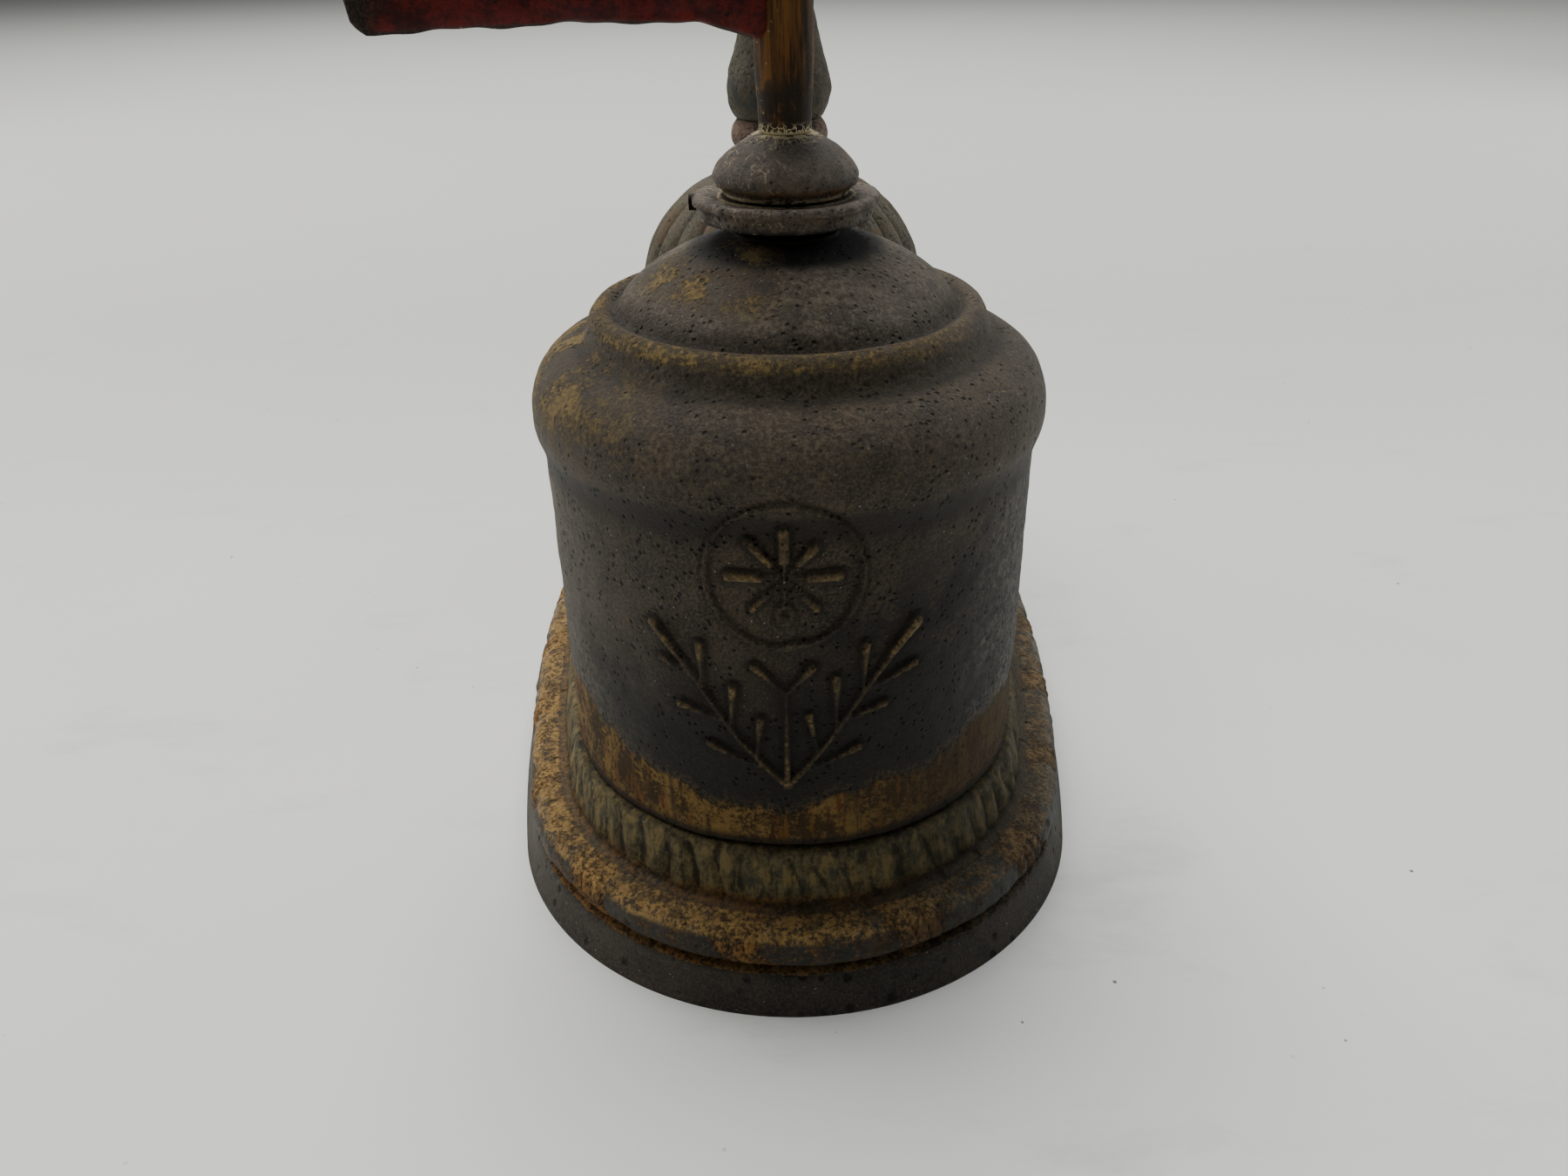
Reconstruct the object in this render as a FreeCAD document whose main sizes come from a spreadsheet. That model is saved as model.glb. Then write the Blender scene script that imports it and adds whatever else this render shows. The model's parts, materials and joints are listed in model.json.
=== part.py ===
import FreeCAD, Part
import math
import os
import types
import Sketcher

# Tabletop fire alarm bell: a cast-iron bell on an oval base, with a fireman's axe on a
# turning post above it and a spring-loaded striker in a domed housing behind it.
# Millimetres. +Z is up, the bell's axis is x = y = 0, the floor is z = 0, the striker
# lies towards +Y, and the axe blade points to -X.

SIZES = {
    # base casting
    "bell_radius": 45.0,
    "foot_margin": 14.4,
    "end_spacing": 126.0,
    "side_bulge": 6.3,
    "deck_height": 27.5,
    "foot_band": 7.7,
    "foot_slope": 2.8,
    "ledge_width": 5.2,
    "ledge_rise": 0.6,
    "torus_height": 7.9,
    "torus_inset": 2.1,
    "torus_round": 4.3,
    "deck_margin": 1.35,
    "casting_wall": 4.0,
    "foot_land": 1.0,
    "boss_depth": 6.0,
    "boss_wall": 3.0,
    # bell
    "mouth_seam": 0.8,
    "bell_height": 97.9,
    "bell_wall": 3.2,
    "bell_flare": 0.8,
    "crown_flat": 11.0,
    "shoulder_drop": 29.4,
    "shoulder_rise": 9.5,
    "shoulder_in": 2.6,
    "shoulder_round": 12.0,
    "notch_drop": 13.7,
    "notch_in": 9.9,
    "ridge_drop": 10.6,
    "ridge_in": 13.5,
    "ridge_round": 2.6,
    "groove_drop": 11.5,
    "groove_in": 14.9,
    "dome_round": 48.0,
    # pillar and what it clamps
    "stud_radius": 4.0,
    "column_radius": 6.0,
    "foot_radius": 13.0,
    "foot_thickness": 4.0,
    "shoulder_radius": 9.0,
    "washer_radius": 9.0,
    "washer_thickness": 1.5,
    "top_washer": 0.8,
    "clamp_radius": 7.5,
    "clamp_thickness": 2.6,
    "clamp_slot": 1.6,
    "clamp_clearance": 0.5,
    "pillar_fillet": 2.0,
    "nut_across": 13.0,
    "nut_thickness": 5.0,
    # axe post
    "journal_radius": 3.2,
    "journal_length": 9.2,
    "groove_depth": 0.8,
    "thrust_thickness": 0.6,
    "collar_radius": 15.3,
    "collar_taper": 1.7,
    "collar_thickness": 4.6,
    "collar_gap": 2.4,
    "clamp_room": 0.7,
    "hub_radius": 5.6,
    "collar_edge": 0.8,
    "finial_radius": 12.0,
    "finial_neck": 10.8,
    "finial_height": 9.6,
    "finial_band": 1.8,
    "finial_edge": 2.4,
    "finial_land": 0.6,
    "screw_radius": 1.0,
    "screw_head_radius": 1.35,
    "screw_head_length": 1.2,
    "screw_cover": 0.4,
    "handle_radius": 4.85,
    "handle_foot_radius": 4.3,
    "handle_length": 40.0,
    "handle_swell": 5.0,
    "handle_nose": 1.5,
    "handle_nose_round": 1.6,
    "spigot_radius": 2.8,
    "spigot_length": 3.0,
    "socket_relief": 0.2,
    "eye_wall": 1.7,
    "eye_base": 21.5,
    "eye_height": 14.0,
    "blade_reach": 67.5,
    "blade_base": 16.3,
    "blade_top": 47.0,
    "blade_top_round": 60.0,
    "blade_edge_round": 34.0,
    "blade_heel": 36.0,
    "blade_heel_rise": 1.1,
    "blade_throat": 13.5,
    "blade_throat_rise": 1.4,
    "beard_width": 1.8,
    "beard_drop": 1.9,
    "edge_half": 0.5,
    "bevel_width": 12.0,
    "bevel_half": 1.2,
    "pick_reach": 34.0,
    "pick_rise": 2.5,
    "pick_tip": 1.2,
    "pick_half": 0.9,
    "rivet_radius": 1.2,
    "rivet_head": 2.0,
    "rivet_head_height": 1.0,
    "rivet_head_edge": 0.8,
    "wedge_width": 6.0,
    "wedge_thickness": 1.2,
    "wedge_depth": 6.0,
    "wedge_proud": 0.3,
    # striker housing
    "housing_radius": 39.5,
    "housing_wall": 3.2,
    "housing_rise": 88.8,
    "housing_skirt": 57.0,
    "housing_flange": 3.5,
    "flange_thickness": 3.0,
    "flange_fillet": 1.5,
    "dome_ease": 1.5,
    "top_flat": 5.0,
    "lug_radius": 4.0,
    "lug_circle": 33.0,
    "lug_height": 12.0,
    "lug_cover": 2.0,
    "lug_screw_gap": 3.0,
    "slot_width": 9.0,
    "slot_front": 5.5,
    "slot_back": 11.0,
    # striker mechanism
    "rod_height": 34.5,
    "rod_radius": 3.0,
    "lever_arm": 30.0,
    "travel": 6.3,
    "strike_gap": 0.3,
    "head_radius": 7.5,
    "head_length": 10.0,
    "head_web": 1.95,
    "rod_in_head": 8.0,
    "head_face_inset": 3.2,
    "head_nose": 3.0,
    "head_nose_round": 3.4,
    "head_tail": 2.0,
    "head_tail_drop": 1.5,
    "rod_tail": 6.0,
    "lock_nut_across": 10.0,
    "lock_nut_thickness": 3.0,
    "window_half_length": 7.5,
    "window_half_width": 6.0,
    "window_half_height": 4.5,
    "end_radius": 3.0,
    "end_half_width": 3.0,
    "arm_half_thickness": 1.7,
    "lever_hub_radius": 6.5,
    "lever_hub_half": 7.0,
    "shank_radius": 3.2,
    "tang_radius": 2.4,
    "tang_length": 14.0,
    "pin_radius": 2.5,
    "pin_head_radius": 4.2,
    "pin_head_length": 1.6,
    "pin_end": 1.4,
    "pin_groove": 0.6,
    "clip_radius": 4.4,
    "clip_thickness": 0.9,
    "clip_mouth": 1.4,
    "spacer_radius": 4.8,
    "spacer_thickness": 1.0,
    "cheek_thickness": 3.0,
    "cheek_half_length": 13.0,
    "cheek_chamfer": 2.0,
    "frame_half_width": 11.5,
    "frame_plate": 2.5,
    "frame_front": 27.0,
    "frame_back": 31.5,
    "tab_inset": 20.0,
    "tab_half_width": 9.0,
    "tab_rise": 10.0,
    "frame_screw_inset": 4.5,
    "frame_screw_half": 6.0,
    "frame_screw_radius": 2.0,
    "frame_screw_head": 3.2,
    "frame_screw_head_height": 2.2,
    "bush_radius": 5.0,
    "bush_flange": 7.5,
    "bush_flange_thickness": 2.0,
    "bush_boss_wall": 3.5,
    "bush_boss_reach": 1.8,
    "bush_length": 10.0,
    "rear_bush_tail": 1.5,
    "rear_flange_trim": 0.5,
    "spring_wire": 0.6,
    "spring_radius": 4.5,
    "spring_turns": 7.0,
    # grip on the lever
    "ferrule_lift": 3.2,
    "ferrule_height": 8.8,
    "ferrule_radius": 13.2,
    "ferrule_foot": 5.0,
    "ferrule_shoulder": 2.0,
    "ferrule_round": 7.0,
    "grip_height": 30.0,
    "grip_radius": 14.0,
    "grip_neck": 12.0,
    "grip_top": 4.0,
    "grip_belly": 6.5,
    "grip_belly_length": 3.0,
    "grip_belly_round": 3.0,
    "grip_belly_drop": 0.6,
    "grip_waist": 10.4,
    "grip_nose": 7.0,
    "grip_nose_round": 9.0,
    "tang_gap": 0.5,
    # fits
    "running_fit": 0.05,
    "seat_fit": 0.05,
    "side_play": 0.15,
    "face_gap": 0.1,
    "stop_gap": 0.3,
    "window_play": 0.35,
    "tool_clear": 1.0,
}


# Decimal places that keep a sine's rounding error out of the sheet's formulas.
DIGITS = 12
# Lengths below this are taken as nothing.
NOTHING = 1e-9


class Size:
    """A length that knows its value in millimetres and the sheet formula that gives it."""

    def __init__(self, value, formula):
        self.value = value
        self.formula = formula

    @staticmethod
    def of(item):
        return item if isinstance(item, Size) else Size(float(item), repr(float(item)))

    def __add__(self, other):
        other = Size.of(other)
        return Size(self.value + other.value, f"({self.formula} + {other.formula})")

    def __sub__(self, other):
        other = Size.of(other)
        return Size(self.value - other.value, f"({self.formula} - {other.formula})")

    def __mul__(self, other):
        other = Size.of(other)
        return Size(self.value * other.value, f"({self.formula} * {other.formula})")

    def __truediv__(self, other):
        other = Size.of(other)
        return Size(self.value / other.value, f"({self.formula} / {other.formula})")

    def __neg__(self):
        return Size(-self.value, f"(0 - {self.formula})")

    def __radd__(self, other):
        return Size.of(other) + self

    def __rsub__(self, other):
        return Size.of(other) - self

    def __rmul__(self, other):
        return Size.of(other) * self


doc = FreeCAD.newDocument("FireAlarmBell")
sheet = doc.addObject("Spreadsheet::Sheet", "Sizes")
for row, (name, millimetres) in enumerate(SIZES.items(), start=1):
    sheet.set(f"A{row}", name)
    sheet.set(f"B{row}", str(millimetres))
    sheet.setAlias(f"B{row}", name)
doc.recompute()
s = types.SimpleNamespace(**{name: Size(value, f"Sizes.{name}") for name, value in SIZES.items()})


# ---- sketch and feature helpers ----

def bind(thing, path, size):
    """Set a property from the sheet."""
    thing.setExpression(path, Size.of(size).formula)


def new_body(name, x=0.0, y=0.0, z=0.0):
    """A body labelled with its node's name, its origin placed from the sheet."""
    body = doc.addObject("PartDesign::Body", name)
    body.Label = name
    for axis, size in (("x", x), ("y", y), ("z", z)):
        bind(body, f"Placement.Base.{axis}", size)
    return body


def sketch_on(body, name, role, lift=0.0):
    """A sketch on one of the body's own origin planes, lifted along its normal."""
    plane = next(item for item in body.Origin.OriginFeatures if item.Role == role)
    sketch = body.newObject("Sketcher::SketchObject", name)
    sketch.AttachmentSupport = [(plane, "")]
    sketch.MapMode = "FlatFace"
    bind(sketch, "AttachmentOffset.Base.z", lift)
    return sketch


def pin_vertex(sketch, edge, vertex, x, y):
    """Hold one vertex of a sketch at x, y."""
    for kind, axis, size in (("DistanceX", -2, Size.of(x)), ("DistanceY", -1, Size.of(y))):
        if abs(size.value) < NOTHING:
            sketch.addConstraint(Sketcher.Constraint("PointOnObject", edge, vertex, axis))
            continue
        ends = (-1, 1, edge, vertex) if size.value > 0 else (edge, vertex, -1, 1)
        index = sketch.addConstraint(Sketcher.Constraint(kind, *ends, abs(size.value)))
        bind(sketch, f"Constraints[{index}]", size if size.value > 0 else -size)


def fix_radius(sketch, edge, radius):
    """Hold the radius of an arc or circle."""
    index = sketch.addConstraint(Sketcher.Constraint("Radius", edge, Size.of(radius).value))
    bind(sketch, f"Constraints[{index}]", radius)


def circle(sketch, x, y, radius):
    """A circle held at its centre and radius."""
    centre = FreeCAD.Vector(Size.of(x).value, Size.of(y).value, 0)
    edge = sketch.addGeometry(Part.Circle(centre, FreeCAD.Vector(0, 0, 1), Size.of(radius).value))
    pin_vertex(sketch, edge, 3, x, y)
    fix_radius(sketch, edge, radius)


def arc_between(start, end, radius):
    """The shorter arc from start to end, turning left where the radius is positive."""
    chord = end - start
    half = chord.Length / 2
    left = FreeCAD.Vector(-chord.y, chord.x, 0).normalize()
    side = math.copysign(math.sqrt(radius * radius - half * half), radius)
    centre = (start + end) * 0.5 + left * side
    first, last = (start, end) if radius > 0 else (end, start)
    angles = [math.atan2(point.y - centre.y, point.x - centre.x) for point in (first, last)]
    if angles[1] < angles[0]:
        angles[1] += 2 * math.pi
    return Part.ArcOfCircle(Part.Circle(centre, FreeCAD.Vector(0, 0, 1), abs(radius)), *angles)


def outline(sketch, corners):
    """A closed outline of (x, y) corners; (x, y, radius) makes the edge after it an arc,
    which turns left where the radius is positive and right where it is negative."""
    points = [FreeCAD.Vector(Size.of(c[0]).value, Size.of(c[1]).value, 0) for c in corners]
    ends = []
    for index, corner in enumerate(corners):
        start, end = points[index], points[(index + 1) % len(points)]
        radius = Size.of(corner[2]) if len(corner) > 2 else None
        if radius is None:
            edge = sketch.addGeometry(Part.LineSegment(start, end))
            ends.append((edge, 1, 2))
            continue
        edge = sketch.addGeometry(arc_between(start, end, radius.value))
        ends.append((edge, 1, 2) if radius.value > 0 else (edge, 2, 1))
        fix_radius(sketch, edge, radius if radius.value > 0 else -radius)
    for (edge, first, last), following, corner in zip(ends, ends[1:] + ends[:1], corners):
        pin_vertex(sketch, edge, first, corner[0], corner[1])
        sketch.addConstraint(Sketcher.Constraint("Coincident", edge, last, following[0], following[1]))


def rectangle(sketch, low_x, low_y, high_x, high_y):
    """A rectangle between two corners."""
    outline(sketch, [(low_x, low_y), (high_x, low_y), (high_x, high_y), (low_x, high_y)])


def pad(body, name, sketch, length, symmetric=False, reverse=False):
    """Extrude a sketch along its normal."""
    feature = body.newObject("PartDesign::Pad", name)
    feature.Profile = sketch
    bind(feature, "Length", length)
    feature.SideType = "Symmetric" if symmetric else "One side"
    feature.Reversed = reverse
    return feature


def pocket(body, name, sketch, length=None, symmetric=False, reverse=False):
    """Cut a sketch along its normal, right through where no length is given."""
    feature = body.newObject("PartDesign::Pocket", name)
    feature.Profile = sketch
    feature.SideType = "Symmetric" if symmetric else "One side"
    feature.Reversed = reverse
    if length is None:
        feature.Type = "ThroughAll"
    else:
        bind(feature, "Length", length)
    return feature


def revolve(body, name, sketch, axis, cut=False):
    """Turn a sketch full circle about one of its own axes, to add or to cut."""
    feature = body.newObject("PartDesign::Groove" if cut else "PartDesign::Revolution", name)
    feature.Profile = sketch
    feature.ReferenceAxis = (sketch, [axis])
    feature.Angle = 360
    return feature


# A turned piece's profile is (radius, height) about Z, and (place, radius) about X or Y.
TURNING = {"Z": ("XZ_Plane", "V_Axis"), "Y": ("YZ_Plane", "H_Axis"), "X": ("XZ_Plane", "H_Axis")}


def turned(name, axis, profile, x=0.0, y=0.0, z=0.0):
    """A piece turned on a lathe."""
    body = new_body(name, x, y, z)
    role, turning_axis = TURNING[axis]
    sketch = sketch_on(body, name + "_profile", role)
    outline(sketch, profile)
    revolve(body, name + "_turned", sketch, turning_axis)
    return body


def ring(name, bore, radius, thickness, z):
    """A flat washer about the bell's axis."""
    return turned(name, "Z", [(bore, 0), (radius, 0), (radius, thickness), (bore, thickness)], z=z)


def hexagon(sketch, across):
    """A hexagon about the sketch's origin, held by its corners, two flats facing along x."""
    side = across / math.sqrt(3)
    turns = [math.radians(60 * corner) for corner in range(6)]
    shares = [(round(math.sin(turn), DIGITS), round(math.cos(turn), DIGITS)) for turn in turns]
    outline(sketch, [(side * across_x, side * across_y) for across_x, across_y in shares])


# ---- places worked out from the sizes ----

foot_radius = s.bell_radius + s.foot_margin
deck_radius = s.bell_radius + s.deck_margin
half_spacing = s.end_spacing / 2
side_centre = (half_spacing * half_spacing - s.side_bulge * s.side_bulge) / (2 * s.side_bulge)
side_extra = side_centre + s.side_bulge
deck_under = s.deck_height - s.casting_wall
mouth = s.deck_height + s.mouth_seam
crown = mouth + s.bell_height
crown_under = crown - s.bell_wall
clamp_base = crown + s.top_washer
clamp_top = clamp_base + s.clamp_thickness
thrust_top = clamp_top + s.thrust_thickness
hub_base = thrust_top + s.face_gap
collar_base = crown + s.collar_gap
collar_top = collar_base + s.collar_thickness
finial_top = collar_top + s.finial_height
journal_top = thrust_top - s.thrust_thickness + s.journal_length
screw_height = collar_top - s.screw_cover - s.screw_radius
handle_top = finial_top + s.handle_length
rod_z = s.deck_height + s.rod_height
pivot_z = rod_z + s.lever_arm
rear = s.end_spacing
wall_at_rod = s.bell_radius + s.bell_flare * (rod_z - mouth) / (s.bell_height - s.shoulder_drop)
head_front = wall_at_rod + s.strike_gap + s.travel
housing_top = s.deck_height + s.housing_rise
ferrule_base = housing_top + s.ferrule_lift
front_bush = rear - s.housing_radius - s.bush_boss_reach
tab_front = rear + s.tab_inset


# ---- base ----

def oval(sketch, inset):
    """The base's four-centred oval, a distance inside the foot's outline, from its front point."""
    end = foot_radius - inset
    side = end + side_extra
    lean = math.atan2(half_spacing.value, side_centre.value)
    reach = side_centre.value + end.value + s.side_bulge.value
    up = FreeCAD.Vector(0, 0, 1)

    def arc(centre_x, centre_y, radius, first, last):
        centre = FreeCAD.Vector(centre_x, centre_y, 0)
        return sketch.addGeometry(Part.ArcOfCircle(Part.Circle(centre, up, radius), first, last))

    quarter = math.pi / 2
    near_right = arc(0, 0, end.value, -quarter, -lean)
    right = arc(-side_centre.value, half_spacing.value, reach, -lean, lean)
    far = arc(0, rear.value, end.value, lean, 2 * quarter - lean)
    left = arc(side_centre.value, half_spacing.value, reach, 2 * quarter - lean, 2 * quarter + lean)
    near_left = arc(0, 0, end.value, 2 * quarter + lean, 3 * quarter)
    loop = [near_right, right, far, left, near_left]
    for edge, following in zip(loop, loop[1:]):
        sketch.addConstraint(Sketcher.Constraint("Tangent", edge, 2, following, 1))
    sketch.addConstraint(Sketcher.Constraint("Coincident", near_left, 2, near_right, 1))
    sketch.addConstraint(Sketcher.Constraint("PointOnObject", near_right, 1, -2))
    pin_vertex(sketch, near_right, 3, 0, 0)
    pin_vertex(sketch, near_left, 3, 0, 0)
    pin_vertex(sketch, far, 3, 0, rear)
    fix_radius(sketch, near_right, end)
    fix_radius(sketch, far, end)
    fix_radius(sketch, right, side)
    fix_radius(sketch, left, side)


def frame_screw_places():
    """The four screws of the striker's frame, in the row's x and y."""
    for x in (-s.frame_screw_half, s.frame_screw_half):
        yield x, rear - s.frame_front + s.frame_screw_inset
        yield x, rear + s.frame_back - s.frame_screw_inset


def lug_places(centre_y):
    """The four screws of the housing, on the diagonals about its axis."""
    diagonal = s.lug_circle * round(math.sqrt(0.5), DIGITS)
    for x in (-diagonal, diagonal):
        yield x, centre_y - diagonal
        yield x, centre_y + diagonal


def make_base_casting():
    """The hollow oval casting: moulded wall swept round the oval, deck, bosses and holes."""
    body = new_body("base_casting")
    path = sketch_on(body, "foot_outline", "XY_Plane")
    oval(path, 0)
    wall = sketch_on(body, "wall_section", "YZ_Plane")
    ledge = s.foot_slope + s.ledge_width
    torus_foot = s.foot_band + s.ledge_rise
    front = -foot_radius
    inner = -deck_radius + s.casting_wall
    outline(wall, [
        (front, 0),
        (front + s.casting_wall + s.foot_land, 0),
        (inner - s.torus_inset, torus_foot),
        (inner, deck_under),
        (inner, s.deck_height),
        (-deck_radius, s.deck_height),
        (front + ledge + s.torus_inset, torus_foot + s.torus_height, s.torus_round),
        (front + ledge, torus_foot),
        (front + s.foot_slope, s.foot_band),
    ])
    sweep = body.newObject("PartDesign::AdditivePipe", "moulded_wall")
    sweep.Profile = wall
    sweep.Spine = (path, [])
    deck = sketch_on(body, "deck_outline", "XY_Plane", deck_under)
    oval(deck, foot_radius - deck_radius + s.casting_wall / 2)
    pad(body, "deck", deck, s.casting_wall)
    bosses = sketch_on(body, "bosses", "XY_Plane", deck_under - s.boss_depth)
    circle(bosses, 0, 0, s.stud_radius + 2 * s.boss_wall)
    for x, y in frame_screw_places():
        circle(bosses, x, y, s.frame_screw_radius + s.boss_wall)
    pad(body, "boss_pads", bosses, s.boss_depth)
    holes = sketch_on(body, "holes", "XY_Plane", s.deck_height)
    circle(holes, 0, 0, s.stud_radius + s.seat_fit)
    for x, y in [*frame_screw_places(), *lug_places(rear)]:
        circle(holes, x, y, s.frame_screw_radius + s.seat_fit)
    pocket(body, "drilled", holes)


# ---- bell and its pillar ----

def make_bell():
    """The cast shell: a nearly straight wall, a rounded shoulder, a beaded step and a dome."""
    wall_top = s.bell_height - s.shoulder_drop
    wall_radius = s.bell_radius + s.bell_flare
    under = s.bell_height - s.bell_wall
    hole = s.stud_radius + s.seat_fit
    shoulder = (wall_radius - s.shoulder_in, wall_top + s.shoulder_rise)
    notch = (s.bell_radius - s.notch_in, s.bell_height - s.notch_drop)
    turned("bell", "Z", [
        (s.bell_radius, 0),
        (wall_radius, wall_top, s.shoulder_round + s.bell_wall),
        shoulder,
        (*notch, s.ridge_round),
        (s.bell_radius - s.ridge_in, s.bell_height - s.ridge_drop),
        (s.bell_radius - s.groove_in, s.bell_height - s.groove_drop, s.dome_round),
        (s.crown_flat, s.bell_height),
        (hole, s.bell_height),
        (hole, under),
        (s.crown_flat, under, -(s.dome_round - s.bell_wall)),
        (s.bell_radius - s.groove_in - s.bell_wall / 2, s.bell_height - s.groove_drop - s.bell_wall),
        (notch[0] - s.bell_wall / 2, notch[1] - s.bell_wall),
        (shoulder[0] - s.bell_wall, shoulder[1] - s.bell_wall / 2, -s.shoulder_round),
        (wall_radius - s.bell_wall, wall_top),
        (s.bell_radius - s.bell_wall, 0),
    ], z=mouth)


def make_pillar():
    """The pillar: threaded tail, foot, column, shoulder, stud and grooved journal."""
    shoulder_z = crown_under - s.washer_thickness
    tail = s.deck_height - (deck_under - s.boss_depth) + 2 * s.washer_thickness + s.nut_thickness
    groove_low = screw_height - s.screw_radius - s.stop_gap
    groove_high = screw_height + s.screw_radius + s.stop_gap
    waist = s.journal_radius - s.groove_depth
    base = s.deck_height
    turned("bell_pillar", "Z", [
        (0, -tail),
        (s.stud_radius, -tail),
        (s.stud_radius, 0),
        (s.foot_radius, 0),
        (s.foot_radius, s.foot_thickness / 2),
        (s.column_radius, s.foot_thickness + s.pillar_fillet),
        (s.column_radius, shoulder_z - base - 2 * s.washer_thickness),
        (s.shoulder_radius, shoulder_z - base - s.washer_thickness),
        (s.shoulder_radius, shoulder_z - base),
        (s.stud_radius, shoulder_z - base),
        (s.stud_radius, clamp_top - base),
        (s.journal_radius, clamp_top - base),
        (s.journal_radius, groove_low - base),
        (waist, groove_low - base),
        (waist, groove_high - base),
        (s.journal_radius, groove_high - base),
        (s.journal_radius, journal_top - base),
        (0, journal_top - base),
    ], z=base)


def make_pillar_fixings():
    """The washer and nut under the deck, and the washers and slotted nut at the crown."""
    bore = s.stud_radius + s.seat_fit
    boss_under = deck_under - s.boss_depth
    ring("pillar_washer", bore, s.stud_radius + 2 * s.boss_wall, s.washer_thickness,
         boss_under - s.washer_thickness)
    nut = new_body("pillar_nut", z=boss_under - s.washer_thickness - s.nut_thickness)
    face = sketch_on(nut, "nut_face", "XY_Plane")
    hexagon(face, s.nut_across)
    circle(face, 0, 0, bore)
    pad(nut, "nut_block", face, s.nut_thickness)
    ring("inner_crown_washer", bore, s.washer_radius, s.washer_thickness, crown_under - s.washer_thickness)
    ring("outer_crown_washer", bore, s.washer_radius, s.top_washer, crown)
    clamp = ring("bell_clamp_nut", bore, s.clamp_radius, s.clamp_thickness, clamp_base)
    slots = sketch_on(clamp, "spanner_slots", "XY_Plane", s.clamp_thickness)
    half = s.clamp_slot / 2
    for side in (-1, 1):
        near, far = sorted((side * (s.clamp_radius - s.clamp_slot), side * (s.clamp_radius + s.tool_clear)),
                           key=lambda size: size.value)
        rectangle(slots, near, -half, far, half)
    pocket(clamp, "spanner_slots_cut", slots)
    ring("thrust_washer", s.journal_radius + s.seat_fit, s.clamp_radius - s.clamp_clearance,
         s.thrust_thickness, clamp_top)


# ---- axe post ----

def make_collar():
    """The disc under the finial: a hollow underside that clears the clamp nut, and a screw hole."""
    body = turned("collar_disc", "Z", [
        (s.clamp_radius + s.clamp_room, 0),
        (s.collar_radius - s.collar_taper, 0),
        (s.collar_radius, s.collar_taper),
        (s.collar_radius, s.collar_thickness - s.collar_edge),
        (s.collar_radius - s.collar_edge, s.collar_thickness),
        (s.hub_radius + s.seat_fit, s.collar_thickness),
        (s.hub_radius + s.seat_fit, hub_base - collar_base),
        (s.clamp_radius + s.clamp_room, hub_base - collar_base),
    ], z=collar_base)
    hole = sketch_on(body, "screw_hole", "YZ_Plane")
    circle(hole, 0, screw_height - collar_base, s.screw_radius + s.seat_fit)
    pocket(body, "screw_hole_cut", hole)


def make_finial():
    """The flattened finial, with a hub that runs on the journal and a socket for the handle."""
    bore = s.journal_radius + s.running_fit
    hub = hub_base - collar_top
    shoulder = journal_top + s.stop_gap - collar_top
    edge = s.finial_band + s.finial_edge
    socket = s.finial_height - s.spigot_length - s.socket_relief
    body = turned("finial_dome", "Z", [
        (bore, hub),
        (s.hub_radius, hub),
        (s.hub_radius, 0),
        (s.finial_neck, 0),
        (s.finial_neck, s.finial_band),
        (s.finial_radius, edge, s.finial_radius),
        (s.handle_foot_radius + s.finial_land, s.finial_height),
        (s.spigot_radius + s.seat_fit, s.finial_height),
        (s.spigot_radius + s.seat_fit, socket),
        (bore, socket - s.stop_gap),
        (bore, shoulder),
    ], z=collar_top)
    hole = sketch_on(body, "screw_hole", "YZ_Plane")
    circle(hole, 0, screw_height - collar_top, s.screw_radius + s.seat_fit)
    pocket(body, "screw_hole_cut", hole)


def make_set_screw():
    """The screw that pins the collar to the hub; its tip keeps the post on the journal."""
    tip = s.journal_radius - s.groove_depth + s.stop_gap
    turned("collar_set_screw", "X", [
        (-(s.collar_radius + s.screw_head_length), 0),
        (-tip, 0),
        (-tip, s.screw_radius),
        (-s.collar_radius, s.screw_radius),
        (-s.collar_radius, s.screw_head_radius),
        (-(s.collar_radius + s.screw_head_length), s.screw_head_radius),
    ], z=screw_height)


def make_handle():
    """The turned handle with a spigot at its foot and a sawn slot for the wedge."""
    body = turned("axe_handle", "Z", [
        (0, -s.spigot_length),
        (s.spigot_radius, -s.spigot_length),
        (s.spigot_radius, 0),
        (s.handle_foot_radius, 0),
        (s.handle_radius, s.handle_swell),
        (s.handle_radius, s.handle_length - s.handle_nose, s.handle_nose_round),
        (s.handle_radius - s.handle_nose, s.handle_length),
        (0, s.handle_length),
    ], z=finial_top)
    slot = sketch_on(body, "wedge_slot", "XY_Plane", s.handle_length)
    half = s.wedge_thickness / 2 + s.seat_fit
    rectangle(slot, -s.wedge_width / 2, -half, s.wedge_width / 2, half)
    pocket(body, "wedge_slot_cut", slot, s.wedge_depth)
    hole = sketch_on(body, "rivet_hole", "XZ_Plane")
    circle(hole, 0, s.eye_base + s.eye_height / 2, s.rivet_radius + s.seat_fit)
    pocket(body, "rivet_hole_cut", hole, 4 * s.handle_radius, symmetric=True)


# Corner cuts of the blade: in from the edge twice and down at the top, in and up at the foot.
TOP_CORNER = (4.5, 1.5, 2.0)
FOOT_CORNER = (2.5, 5.0)
EYE_TUCK = 0.6
# Where the head's faces bend in plan: out from the eye, and in from its face.
BLADE_ROOT = (6.0, 2.2)
PICK_ROOT = (3.0, 2.6)
CHEEK = 2.0


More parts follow.
